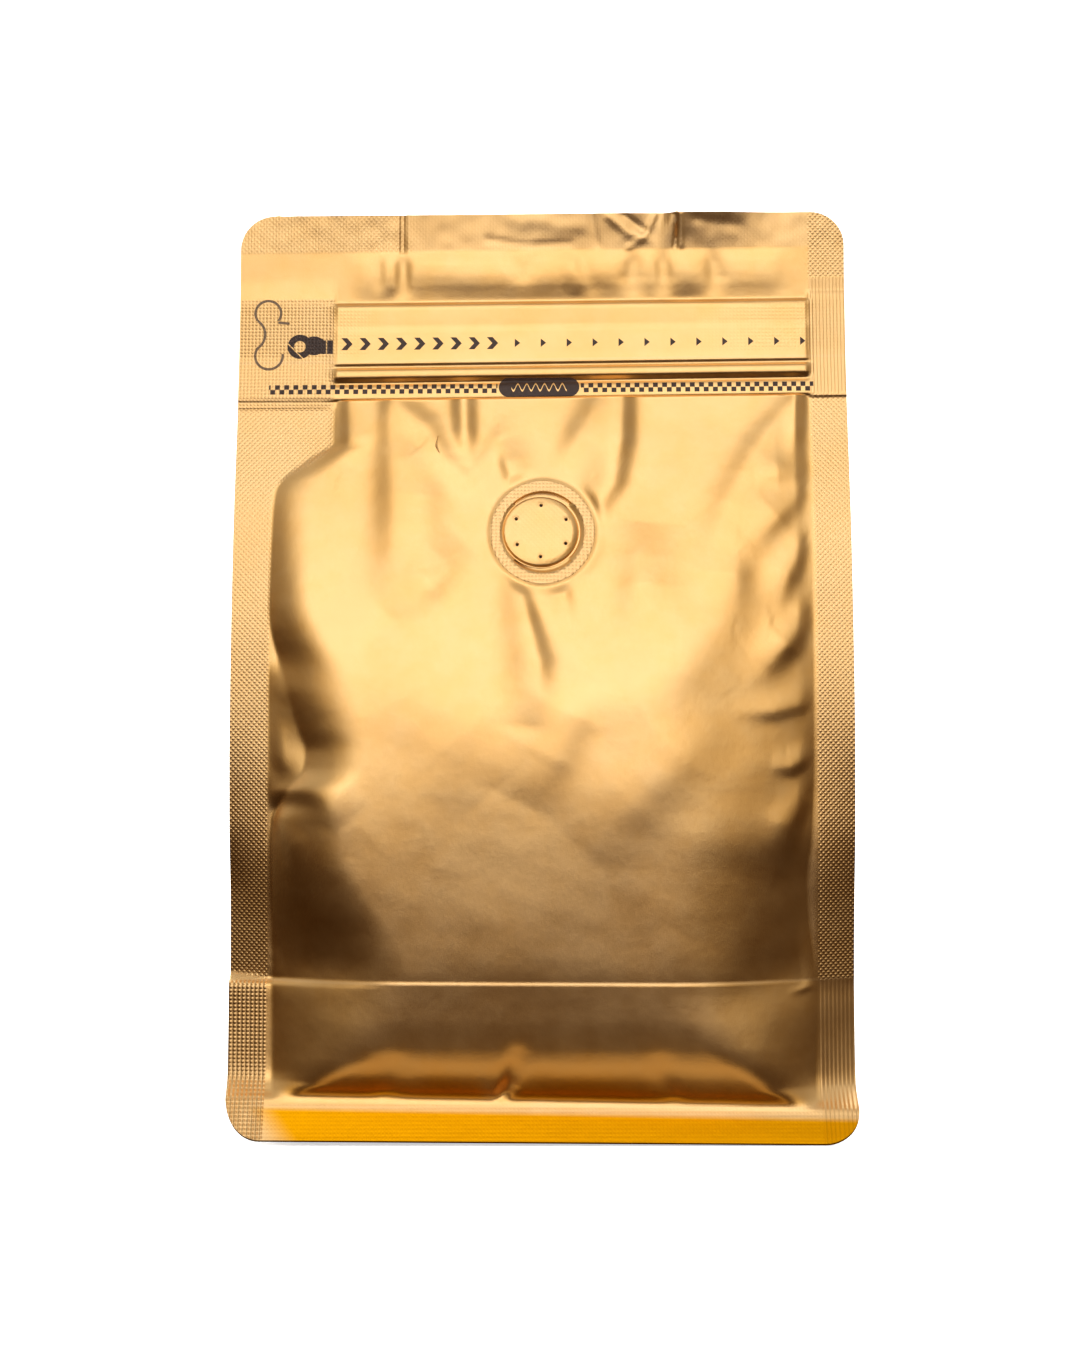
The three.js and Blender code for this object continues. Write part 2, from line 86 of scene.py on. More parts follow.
# Depth of the seals in front of the middle plane: [height, depth]
LEFT_DEPTH = [
    (FOOT_LINE, 33.9), (9.5, 32.8), (12, 31.4), (14, 30.8), (20, 29.9), (27, 29.0), (31.6, 28.4),
    (33.2, 27.0),
    (44, 27.0), (59, 27.6), (73, 26.8), (88, 25.1), (100, 23.1), (115, 19.8), (130, 15.4), (154.6, 5.6),
    (166, 1.9),
    (176, 0.9), (HEIGHT, 0.7),
]
RIGHT_DEPTH = [
    (FOOT_LINE, 33.9), (9.5, 32.3), (12, 30.7), (14, 30.1), (20, 29.2), (27, 28.4), (33, 27.7),
    (44, 27.5), (59, 28.0),
    (73, 26.9), (88, 25.1), (100, 23.1), (115, 19.8), (130, 15.4), (154.6, 5.6), (166, 1.9), (176, 0.9),
    (HEIGHT, 0.7),
]
# Depth of the middle of the panel, which the coffee swells: [height, depth]
MIDDLE_DEPTH = [
    (7, 33.9), (8.2, 34.1), (9.2, 34.6), (11, 35.8), (14, 37.4), (17, 38.4), (20, 38.9), (26, 39.2),
    (33, 39.2),
    (44, 38.6), (59, 37.3), (66, 36.5), (73, 35.5), (80, 34.2), (88, 32.5), (95, 30.6), (105, 27.2),
    (125, 19.3),
    (140, 13.1), (154.6, 7.0), (165, 2.6),
]
# How far in from a seam the swell is full: [height, reach]
LEFT_REACH = [
    (FOOT_LINE, 5), (12, 14), (20, 24), (33, 30), (42, 26), (50, 21), (58, 17), (66, 15), (72, 13),
    (78, 12.5), (88, 14),
    (96, 14), (104, 11.5), (112, 9), (125, 8.5), (140, 8), (154, 8),
]
RIGHT_REACH = [
    (FOOT_LINE, 5), (12, 14), (20, 24), (33, 34), (60, 34), (75, 38), (88, 40), (105, 38), (130, 34),
    (154, 24),
]
SHOULDER = 2
# Where the swell begins: beside a flat shelf along the lower left seam
LEFT_START = [
    (0, -55.6), (33, -56.0), (60, -56.4), (66, -56.0), (72, -53.0), (77, -49.0), (80, -48.8),
    (85, -50.4), (90, -52.0),
    (95, -53.4), (101, -55.4), (107, -56.8), (112, -57.1), (130, -56.8), (134.4, -56.4), (137.6, -55.0),
    (140, -52.3),
    (142.9, -48.3), (145.6, TAB_EDGE), (HEIGHT, TAB_EDGE),
]
# The heads and feet of such pouches are never cut quite square: [height, rise per millimetre to the right]
SLANT = [
    (0, -0.006), (FOOT_LINE, -0.020), (14, -0.010), (33, -0.005), (60, 0), (130, 0.004), (155, 0.014),
    (176, 0.0125), (HEIGHT, 0.0085),
]


def smooth(t):
    t = np.clip(t, 0, 1)
    return t * t * (3 - 2 * t)


def along(stations, at):
    """A smooth curve through [place, value] stations, which never overshoots them."""
    places, values = np.array(stations, float).T
    slopes = np.diff(values) / np.diff(places)
    tangents = np.zeros(len(places))
    same_way = slopes[:-1] * slopes[1:] > 0
    mean = 2 * slopes[:-1] * slopes[1:] / np.where(same_way, slopes[:-1] + slopes[1:], 1)
    tangents[1:-1] = np.where(same_way, mean, 0)
    at = np.clip(at, places[0], places[-1])
    i = np.clip(np.searchsorted(places, at) - 1, 0, len(slopes) - 1)
    span = places[i + 1] - places[i]
    t = (at - places[i]) / span
    curve = values[i] * (1 + 2 * t) * (1 - t) ** 2 + values[i + 1] * t * t * (3 - 2 * t)
    return curve + span * (tangents[i] * t * (1 - t) ** 2 - tangents[i + 1] * t * t * (1 - t))


def fold(path, x, z):
    """The height of a fold that follows a path of (x, z, width, height) points."""
    nearest = np.full(x.shape, 1e9)
    height = np.zeros(x.shape)
    for (x0, z0, w0, h0), (x1, z1, w1, h1) in zip(path, path[1:]):
        dx, dz = x1 - x0, z1 - z0
        t = np.clip(((x - x0) * dx + (z - z0) * dz) / (dx * dx + dz * dz), 0, 1)
        away = np.hypot(x - x0 - t * dx, z - z0 - t * dz) / (w0 + (w1 - w0) * t)
        height = np.where(away < nearest, h0 + (h1 - h0) * t, height)
        nearest = np.minimum(nearest, away)
    return height * np.exp(-nearest ** 2)


def pleat(path, x, z):
    """The height of a fold with unlike sides, along (x, z, width, width, height) points."""
    nearest = np.full(x.shape, 1e9)
    height = np.zeros(x.shape)
    for (x0, z0, left0, right0, h0), (x1, z1, left1, right1, h1) in zip(path, path[1:]):
        dx, dz = x1 - x0, z1 - z0
        t = np.clip(((x - x0) * dx + (z - z0) * dz) / (dx * dx + dz * dz), 0, 1)
        on_right = dx * (z - z0) - dz * (x - x0) > 0
        width = np.where(on_right, right0 + (right1 - right0) * t, left0 + (left1 - left0) * t)
        away = np.hypot(x - x0 - t * dx, z - z0 - t * dz) / width
        height = np.where(away < nearest, h0 + (h1 - h0) * t, height)
        nearest = np.minimum(nearest, away)
    return height * np.exp(-nearest ** 2)


def dent(place, radii, depth, x, z):
    """A soft round hollow. The radii are to its left, right, foot and head."""
    left, right, foot, head = radii
    across = (x - place[0]) / np.where(x < place[0], left, right)
    up = (z - place[1]) / np.where(z < place[1], foot, head)
    return -depth * np.exp(-across ** 2 - up ** 2)


def ripples(x, z, length, seed, stretch=1):
    """Slow waves in many directions, about one millimetre high in all."""
    draw = np.random.default_rng(seed)
    total = np.zeros(np.broadcast(x, z).shape)
    for _ in range(9):
        turn, phase = draw.uniform(0, 2 * math.pi, 2)
        wave = 2 * math.pi / (length * draw.uniform(0.7, 1.5))
        total += np.sin(wave * (x * math.cos(turn) + z * math.sin(turn) / stretch) + phase) / 9
    return total


# Pleats and buckles. One side of each is steeper than the other. Every path runs down the panel or
# in from a seam: [x, height, width on its left as it is seen, width on its right, how far it stands out]
PLEATS = [
    # They hang from the zipper
    [(-41.6, 154, 1.6, 3.4, 0.5), (-41.0, 147, 2.2, 4.6, 0.8), (-42.4, 141, 2.6, 5.6, 0.1)],
    [(-32.4, 154, 2.4, 5.0, 0.7), (-31.2, 142, 3.8, 7.5, 1.3), (-30.6, 128, 4.6, 9.0, 1.3),
     (-30.8, 118, 5.0, 10, 0.6), (-31.4, 108, 5.0, 10, 0)],
    [(-30.6, 154, 2.6, 2.6, 0.5), (-24.6, 149, 2.8, 2.8, 0.8), (-20.4, 142, 2.8, 2.2, 0.7),
     (-16.2, 137.6, 2.6, 2.4, 0.5),
     (-12.2, 141, 2.0, 2.4, 0.4), (-9.8, 147, 2.2, 2.0, 0.2)],
    [(-16.8, 156, 2.3, 2.3, 1.3), (-16.5, 148, 2.3, 2.3, 1.3), (-16.0, 142.6, 2.0, 2.0, 0.5)],
    [(-8.6, 146, 1.8, 4.4, 0.3), (-7.2, 141, 1.8, 4.4, 0.9), (-5.6, 136, 1.8, 4.4, 0.6)],
    [(12.6, 155, 3.4, 5.6, 0.8), (8.4, 147, 3.4, 5.6, 1.1), (4.0, 140, 2.8, 5.0, 0.2)],
    [(17.0, 157, 4.8, 2.3, 1.0), (16.4, 146, 5.6, 2.6, 1.75), (14.6, 137, 5.6, 2.8, 1.5),
     (9.6, 129, 4.4, 2.8, 0.7)],
    [(54.0, 154, 2.8, 6.6, 0.9), (45.4, 143, 3.6, 9.0, 1.3), (39.8, 132, 4.4, 10, 1.2),
     (36.6, 122, 5.0, 11, 0.7), (35.0, 110, 5.0, 11, 0)],
    # They lie round the valve and under it
    [(-5.2, 115.4, 3.6, 1.8, 0.7), (-3.2, 107.5, 5.0, 2.2, 1.4), (-1.2, 99, 5.6, 3.0, 1.5),
     (-1.4, 92, 6.0, 3.6, 0.8), (-2.4, 85, 6.5, 4.0, 0)],
    [(3.6, 117, 3.6, 1.6, 0.3), (4.2, 113, 3.8, 1.8, 0.7), (5.0, 108, 4.0, 2.2, 0.2),
     (5.4, 104, 4.0, 2.2, 0)],
    [(21.4, 128, 4.0, 7.5, 0), (21.0, 121, 4.4, 7.5, 0.8), (20.6, 115, 4.6, 7.5, 1.2),
     (20.2, 109, 4.6, 7.5, 0.7), (19.8, 102, 4.6, 7.5, 0)],
    [(-15.6, 123, 7.0, 3.8, 0), (-19.6, 119, 7.0, 3.8, 0.7), (-23.6, 115, 7.0, 3.8, 1.0),
     (-27.6, 111, 7.0, 3.8, 0.5), (-31, 107.5, 7.0, 3.8, 0)],
    [(-24.0, 147, 5.0, 4.0, 0), (-25.2, 134, 6.0, 4.6, 0.7), (-25.0, 122, 7.0, 5.0, 0.4),
     (-25, 112, 7.0, 5.0, 0)],
    # Broad folds across the panel
    [(48.0, 138, 8.0, 6.0, 0), (42.0, 122, 9.0, 7.0, 0.6), (36.0, 108, 10, 7.5, 1.1),
     (29.0, 99, 10, 8.0, 1.2),
     (20.0, 94, 10, 8.0, 0.8), (10.0, 90, 10, 7.0, 0)],
    [(10.4, 96, 9.0, 4.6, 0), (6.4, 88, 9.0, 5.0, 1.0), (2.0, 79, 10, 5.4, 0.9), (-3.0, 69, 10, 6.0, 0)],
    [(36.0, 89, 10, 6.0, 0), (28.0, 80, 11, 7.0, 0.8), (18.0, 70, 11, 7.0, 0.7), (8.0, 60, 11, 7.0, 0)],
    [(-34.0, 104, 9.0, 9.0, 0), (-26.0, 94, 10, 10, 0.7), (-16.0, 84, 10, 10, 0.6), (-8.0, 74, 10, 10, 0)],
    # Buckles where the film is short along the right seam
    [(54.6, 156, 1.9, 2.2, 0.54), (54, 148, 1.9, 2.2, 0.54), (53.4, 142.4, 1.9, 2.2, 0.18)],
    [(54.4, 139.2, 3.4, 2.4, 0.45), (49.6, 138.6, 3.6, 2.5, 0.81), (44.6, 138.4, 3.6, 2.5, 0.18)],
    [(53.6, 134, 4.1, 2.4, 0.54), (49.2, 129.4, 4.8, 2.8, 0.9), (43.8, 124, 4.8, 2.9, 0.18)],
    [(40.6, 122, 6, 2.9, 0.09), (40, 117, 6, 2.9, 0.54), (39.8, 110, 6, 2.9, 0.09)],
    [(54, 122.4, 3.6, 2.2, 0.63), (51.2, 117, 4.1, 2.4, 1), (48.6, 109.6, 4.1, 2.4, 0.18)],
    [(54.6, 107.6, 3.8, 2.3, 0.72), (50.6, 102.4, 4.8, 2.8, 1.3), (45.4, 97, 5.3, 3.1, 0.36),
     (41.6, 94.6, 5.3, 3.1, 0.09)],
    [(54.6, 90.2, 2.9, 1.7, 0.36), (48, 88.6, 3.1, 1.8, 0.45), (39, 88.4, 3.6, 2.4, 0.09)],
    [(54.4, 78.4, 2.9, 1.4, 0.54), (51.4, 77, 2.9, 1.6, 0.54), (47, 77.4, 2.9, 1.7, 0.09)],
    [(54, 70, 3.6, 1.9, 0.63), (50.6, 65, 4.1, 2.2, 0.81), (48.6, 57, 4.1, 2.6, 0.18)],
    # Buckles along the left seam, under the end of its dark flank
    [(-56.6, 81.5, 2.3, 3.9, 0.54), (-50.4, 75.6, 3, 4.6, 0.96), (-44.6, 70.8, 3.4, 5.1, 0.6),
     (-39.6, 66, 3.9, 5.8, 0.12)],
    [(-54.6, 66, 1.8, 3, 0.3), (-51.6, 61, 2.1, 3.4, 0.48), (-50.4, 52, 2.3, 3.9, 0.24)],
    [(-47.2, 52, 2.3, 3.9, 0.06), (-46.4, 46, 2.8, 4.1, 0.42), (-45.6, 38, 3, 4.6, 0.12)],
]
# The crease above the foot is pushed in near both ends, and the foot has a small dip in its middle
CREASE_DENTS = [
    ((-46, 38), (9, 10, 6, 10), 1.2),
    ((49, 34.5), (9, 7, 5, 8), 1.0),
]
FOOT_FOLDS = [
    [(-8.6, 8.6, 1.0, -1.3), (-6.6, 12.5, 1.6, -1.1), (-5.2, 18, 2.4, -0.5)],
    [(-32, 9.5, 2.4, -0.4), (-30, 15, 3.0, -0.3)],
    [(27, 10, 2.0, -0.35), (24, 16, 3.0, -0.3)],
    [(50.6, 30.6, 0.8, 0), (54.4, 31.7, 0.8, 0.25), (57.6, 32.4, 0.7, 0.2)],
]
# Dents in the pillow of film above the zipper
HEAD_FOLDS = [
    [(-43.4, 187, 2, -0.34), (-42.8, 179, 2.5, -0.425)],
    [(-39.2, 187, 2, 0.212), (-38.8, 180, 2.25, 0.212)],
    [(-35.6, 187, 1.38, -0.34), (-35.4, 181, 1.5, -0.255)],
    [(-33, 187, 1.62, 0.255), (-32.6, 180, 1.88, 0.212)],
    [(-29.9, 188, 1.38, -0.765), (-29.9, 180, 1.75, -0.68), (-30.2, 177, 2, -0.425)],
    [(-24, 187, 4.5, 0.34), (-16, 182.4, 5, 0.255), (0, 181.4, 5, 0.212), (12, 183.5, 5, 0.212)],
    [(-7.4, 188, 2.25, -0.34), (-4.2, 183.4, 2.5, -0.425), (-0.8, 188, 2.25, -0.34)],
    [(5.2, 187, 1.62, 0.255), (7.4, 180, 2, 0.255)],
    [(8.6, 187, 1.5, -0.297), (10.6, 180, 2, -0.255)],
    [(19.8, 188, 1.5, -0.68), (19.4, 182, 2.5, -0.765), (19.8, 178, 2, -0.425)],
    [(25.8, 188, 1.5, -0.68), (26.2, 182, 2, -0.68), (26, 178, 1.75, -0.34)],
    [(31, 187, 3.25, 0.34), (31, 180, 3.5, 0.34)],
    [(36.6, 188, 1.75, -0.68), (37.4, 182, 2.25, -0.722), (37, 178, 1.88, -0.34)],
    [(52.5, 187, 1.75, -0.255), (53, 179, 2.25, -0.34)],
]
# Creases pressed into the head seal itself
HEAD_CREASES = [
    [(-30.1, 196, 0.5, -0.45), (-30.0, 187, 0.6, -0.5)],
    [(-12, 190.6, 0.7, -0.22), (-3, 189.2, 0.6, -0.25), (6, 189.6, 0.6, -0.2)],
    [(-6, 195, 1.8, 0.2), (8, 193, 1.6, 0.25)],
    [(10.4, 196, 0.7, -0.25), (12.0, 189, 0.7, -0.25)],
    [(14.4, 195.2, 0.8, 0.3), (18.6, 191.6, 0.8, 0.35), (23.4, 190.0, 0.8, 0.2)],
    [(17.6, 195.6, 0.7, -0.3), (22.0, 192.2, 0.7, -0.35)],
    [(24.2, 195.4, 0.6, 0.35), (22.2, 191, 0.6, 0.3), (18.4, 188.4, 0.6, 0.25)],
    [(28.6, 195.6, 0.45, -0.4), (28.8, 192, 0.4, -0.5), (28.5, 188.4, 0.45, -0.5)],
    [(29.8, 195.6, 0.4, 0.3), (30.0, 188.6, 0.4, 0.3)],
    [(33.5, 194.6, 1.2, -0.25), (42, 193.2, 1.6, -0.25)],
]
VALVE_PLACE = np.array([0.0, 126.0])
VALVE_RING = 11.1
VALVE_SEAT = 8.6
RING_RISE = 0.34


# How far the fins turn back towards their edges: [height, millimetres back per millimetre outwards]
LEFT_TURN = [
    (FOOT_LINE, 0.0), (12, 0.12), (24, 0.18), (32, 0.16), (34, 0.50), (50, 0.54), (66, 0.20), (88, 0.02),
    (HEIGHT, 0),
]
RIGHT_TURN = [
    (FOOT_LINE, 0.0), (12, 0.52), (24, 0.62), (36, 0.58), (50, 0.50), (66, 0.24), (88, 0.02), (HEIGHT, 0),
]


def fin_turn(x, z):
    """How far back the fins stand from the plane of their seams."""
    left = np.maximum(0, -57 - x) * along(LEFT_TURN, z)
    right = np.maximum(0, x - 57) * along(RIGHT_TURN, z)
    return left + right


FLARE_START = 8.7
FLARE_SLOPE = 0.78
FLARE_SOFTNESS = 1.5


def foot_flare(z):
    """How far the foot seal stands out: it turns forward along the foot line in a soft bead."""
    below = FLARE_START - z
    return FLARE_SLOPE * (np.sqrt(below ** 2 + FLARE_SOFTNESS ** 2) + below) / 2 * smooth((14 - z) / 4)


def seam_depth(x, z):
    """Depth of the flat seals, from the left one to the right one."""
    share = smooth((x + 57) / 114)
    body = along(LEFT_DEPTH, z) * (1 - share) + along(RIGHT_DEPTH, z) * share
    wave = 0.22 * ripples(x, z, 34, 5) * smooth((z - 20) / 20)
    return body + wave - fin_turn(x, z)


HEAD_BEND = 163
HEAD_LEAN = 0.1


def head_bend(x, z):
    """How far the whole head of the pouch leans forward, both films together."""
    high = np.clip((z - 187) / 9, 0, 1)
    nod = 1.9 * smooth((x - 24.5 - 0.3 * (z - 192)) / 3.5) * (1 - smooth((x - 38) / 14))
    nod = nod + 0.5 * smooth((x + 30) / 6) * (1 - smooth((x - 18) / 8)) + 0.25 * np.sin(x / 9)
    back = np.maximum(0, z - HEAD_BEND)
    return high ** 1.5 * nod - HEAD_LEAN * back * back / (back + 6)


def swell_share(x, z):
    """0 on the seams, rising to 1 inside them."""
    start, seam = along(LEFT_START, z), along(LEFT_SEAM, z)
    from_left = 1 - (1 - np.clip((x - start) / along(LEFT_REACH, z), 0, 1)) ** SHOULDER
    shelf = np.clip((x - seam) / np.maximum(start - seam, 1), 0, 1) * smooth((start - seam - 1.5) / 3)
    from_left = from_left * (1 - 0.32 * shelf) + 0.32 * shelf * smooth((130 - z) / 6)
    from_right = 1 - (1 - np.clip((along(RIGHT_SEAM, z) - x) / along(RIGHT_REACH, z), 0, 1)) ** SHOULDER
    return from_left * from_right


# From the flat rail under the groove up over the round track to the tear strip: [height, rise]
ZIP_PROFILE = [
    (154.9, 0), (155.4, 0.62), (157.0, 0.72), (158.1, 0.66), (158.9, 0.34), (159.5, 0.78), (160.4, 1.5),
    (161.2, 1.6),
    (161.8, 1.5), (162.4, 0.86), (162.8, 0.92), (163.3, 1.24), (164.0, 1.22), (167.0, 1.25),
    (170.6, 1.24), (171.2, 1.08),
    (173, 1.12), (175.6, 1.06), (176.3, 0.7), (177.0, 0),
]
# The end of the strip under the pull tab is one thick seal: [height, rise]
TAB_PROFILE = [
    (153.2, 0), (153.7, 0.3), (154.9, 0.46), (156, 0.84), (166, 0.98), (172, 0.86), (177, 0.4), (183, 0),
]
# The strip's other end shows through the right fin
END_PROFILE = [(154.4, 0), (155, 0.4), (160, 0.7), (170, 0.74), (177.6, 0.4), (178.8, 0)]
# The pillow of film between the strip and the head seal
PILLOW_PROFILE = [
    (176.4, 0), (177.4, 0.06), (179, 0.22), (181, 0.46), (183, 0.56), (185, 0.48), (187, 0.22), (188.4, 0),
]


def front_relief(x, z):
    """How far the front film stands out in front of its seals."""
    left, right = along(LEFT_SEAM, z), along(RIGHT_SEAM, z)
    loose = smooth((x - left) / 3.6) * smooth((right - x) / 3.6)
    in_body = (z > 7) & (z < ZIP_BOTTOM + 0.3)
    swell = np.maximum(0, along(MIDDLE_DEPTH, z) - seam_depth(x, z))
    folds = sum(pleat(path, x, z) for path in PLEATS) + sum(fold(path, x, z) for path in FOOT_FOLDS)
    folds = folds + sum(dent(place, radii, depth, x, z) for place, radii, depth in CREASE_DENTS)
    folds = folds + (0.14 + 0.3 * smooth((z - 60) / 50)) * ripples(x, z, 30, 2) + 0.05 * ripples(x, z, 11, 3)
    above = np.maximum(0, z - CREASE)
    to_ends = 1 - 0.6 * smooth((np.abs(x - 8) - 36) / 8)
    crease = -0.2 * smooth((z - CREASE) / 0.55 + 0.5) * np.exp(-above / 7) * to_ends
    near_foot = smooth((z - FOOT_LINE) / 3)
    body = swell * swell_share(x, z) + (folds + crease) * loose * near_foot
    puff = smooth((x - left) / 12) * smooth((right - x) / 9)
    head_folds = sum(fold(path, x, z) for path in HEAD_FOLDS)
    pillow = along(PILLOW_PROFILE, z) * puff * (1 + head_folds)
    pillow = pillow + head_folds * 0.3 * puff * smooth((z - ZIP_TOP - 0.6) / 2) * smooth((HEAD_SEAL - z) / 3)
    on_strip = smooth((x - TAB_EDGE) / 1.0 + 0.5) * smooth((right - x) / 1.6 + 0.5)
    under_tab = smooth((TAB_EDGE - x) / 1.0 + 0.5)
    beyond = smooth((x - right) / 1.6 + 0.5)
    strip = along(ZIP_PROFILE, z) * on_strip + along(TAB_PROFILE, z) * under_tab
    strip = strip + along(END_PROFILE, z) * beyond
    seal = sum(fold(path, x, z) for path in HEAD_CREASES) * smooth((z - HEAD_SEAL + 0.6) / 1.0)
    seal = seal + 0.12 * smooth((z - HEAD_SEAL) / 2) * ripples(x, z, 4.5, 8)
    return np.where(in_body, body, 0) + pillow + strip + seal


def valve_plane(z):
    """The flat that the stiff valve holds the film to: its slope follows the panel's."""
    low, high = (along(MIDDLE_DEPTH, VALVE_PLACE[1] + step) for step in (-11, 11))
    slope = (high - low) / 22
    return (low + high) / 2 + slope * (z - VALVE_PLACE[1])


def front_depth(x, z):
    """Depth of the front film's outer face in front of the middle plane."""
    free = seam_depth(x, z) + foot_flare(z) + front_relief(x, z) + head_bend(x, z)
    radius = np.hypot(x - VALVE_PLACE[0], z - VALVE_PLACE[1])
    held = smooth((14 - radius) / 2.6)
    ring = RING_RISE * smooth((VALVE_RING - radius) / 0.44 + 0.5)
    seat = -1.0 * smooth((VALVE_SEAT - radius) / 0.34 + 0.5)
    return free * (1 - held) + valve_plane(z) * held + ring + seat


def corner_cut(z, top):
    """How far the round corners take the side edges in."""
    from_end = np.minimum(z - FLARE_TIP, top - z)
    into_corner = np.maximum(0, CORNER_RADIUS - from_end)
    return CORNER_RADIUS - np.sqrt(np.maximum(0, CORNER_RADIUS ** 2 - into_corner ** 2))


def steps(*stretches):
    """Places along an edge: each stretch is (from, to, spacing), and ends where the next begins."""
    places = []
    for low, high, gap in stretches:
        count = max(1, round(abs(high - low) / gap))
        places.append(np.linspace(low, high, count, endpoint=False))
    return np.append(np.concatenate(places), stretches[-1][1])


def seal_thickness(rows):
    """Both films are one layer between the head seal and the foot seal, and doubled in them."""
    at_foot = np.where(rows < FOOT_LINE, 2 * FILM, FILM)
    return np.where(rows > HEAD_SEAL - 0.5, HEAD_SEAL_FILM, at_foot)


def corner_rows(start, way):
    """Heights that divide a round corner into equal turns."""
    turns = np.radians(np.arange(0, 90, 6))
    return start + way * CORNER_RADIUS * (1 - np.cos(turns))


def film(name, outer, thickness):
    """A closed sheet of film: outer is its shown face, a grid of rows of points, in millimetres."""
    rows, columns = outer.shape[:2]
    normal = np.cross(np.gradient(outer, axis=1), np.gradient(outer, axis=0))
    normal /= np.maximum(1e-9, np.linalg.norm(normal, axis=2, keepdims=True))
    inner = outer - normal * np.reshape(thickness, (-1, 1, 1))
    # No film goes under the floor
    inner[..., 2] = np.maximum(inner[..., 2], np.minimum(outer[..., 2], 0.02))
    points = np.concatenate([outer.reshape(-1, 3), inner.reshape(-1, 3)]) * MM
    index = np.arange(rows * columns).reshape(rows, columns)
    quads = np.stack([index[:-1, :-1], index[:-1, 1:], index[1:, 1:], index[1:, :-1]], axis=2).reshape(-1, 4)
    rim = np.concatenate([index[0, :], index[1:, -1], index[-1, -2::-1], index[-2:0:-1, 0]])
    after = np.roll(rim, -1)
    back = rows * columns
    edge = np.stack([after, rim, rim + back, after + back], axis=1)
    faces = np.concatenate([quads, quads[:, ::-1] + back, edge])
    mesh = bpy.data.meshes.new(name)
    mesh.from_pydata(points.tolist(), [], faces.tolist())
    mesh.shade_smooth()
    mesh.set_sharp_from_angle(angle=math.radians(62))
    piece = bpy.data.objects.new(name, mesh)
    bpy.context.collection.objects.link(piece)
    return piece


front_rows = np.concatenate([
    corner_rows(FLARE_TIP, 1)[:-1],
    steps((6.4, FOOT_LINE, 0.3), (FOOT_LINE, 12, 0.35), (12, 30.6, 0.62), (30.6, CREASE, 0.3),
          (CREASE, 35.4, 0.3), (35.4, 100, 0.72), (100, 114, 0.6), (114, 138, 0.45), (138, 154.4, 0.6),
          (154.4, ZIP_BOTTOM + 0.5, 0.2), (ZIP_BOTTOM + 0.5, 158.2, 0.4), (158.2, 164.4, 0.24),
          (164.4, ZIP_TOP - 0.5, 0.55), (ZIP_TOP - 0.5, ZIP_TOP + 0.5, 0.2),
          (ZIP_TOP + 0.5, 189, 0.45))[:-1],
    corner_rows(HEIGHT, -1)[::-1],
])
heights = front_rows[:, None]
left_edge, right_edge = along(LEFT_SEAM, heights), along(RIGHT_SEAM, heights)
reach_out = HALF_WIDTH - corner_cut(heights, HEIGHT)
left_fin, inside, right_fin = (np.linspace(0, 1, count) for count in (16, 216, 14))
ease = inside - 0.02 * np.sin(2 * math.pi * inside)
grid_x = np.concatenate([
    -reach_out + (left_edge + reach_out) * left_fin[:-1],
    left_edge + (right_edge - left_edge) * ease,
    right_edge + (reach_out - right_edge) * right_fin[1:],
], axis=1)
grid_z = np.broadcast_to(heights, grid_x.shape)
# Beside the valve the columns run straight up, as they do at its middle
level = np.abs(front_rows - VALVE_PLACE[1]).argmin()
square = np.maximum(np.abs(grid_x - VALVE_PLACE[0]), np.abs(grid_z - VALVE_PLACE[1]))
grid_x = grid_x + (grid_x[level] - grid_x) * (1 - smooth((square - 14) / 9))
# The squares of the grid turn into circles round it, and some of them lie on its two steps
away_x, away_z = grid_x - VALVE_PLACE[0], grid_z - VALVE_PLACE[1]
square = np.maximum(np.abs(away_x), np.abs(away_z))
circle = square.copy()
for edge, gap in ((VALVE_SEAT, 0.17), (VALVE_RING, 0.22)):
    wanted = edge + np.where(circle < edge, -gap, gap)
    circle += (wanted - circle) * smooth((0.62 - np.abs(circle - edge)) / 0.3)
radius = np.maximum(1e-6, np.hypot(away_x, away_z))
pull = 1 + (circle / radius - 1) * (1 - smooth((square - 12) / 9))
grid_x, grid_z = VALVE_PLACE[0] + away_x * pull, VALVE_PLACE[1] + away_z * pull


def slanted(x, y, z):
    """Points of a panel, with the small slant of its head and foot."""
    drop = np.maximum(0, along(SLANT, HEIGHT) * HALF_WIDTH) * smooth((z - 150) / 40)
    lift = 0.4 * smooth((30 - z) / 30)
    return np.stack([x, y, z + along(SLANT, z) * x - drop + lift], axis=2)


grid_y = -front_depth(grid_x, grid_z)
front_film = film("front_film", slanted(grid_x, grid_y, grid_z), seal_thickness(front_rows))
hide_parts("pouch")
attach(front_film, "root")


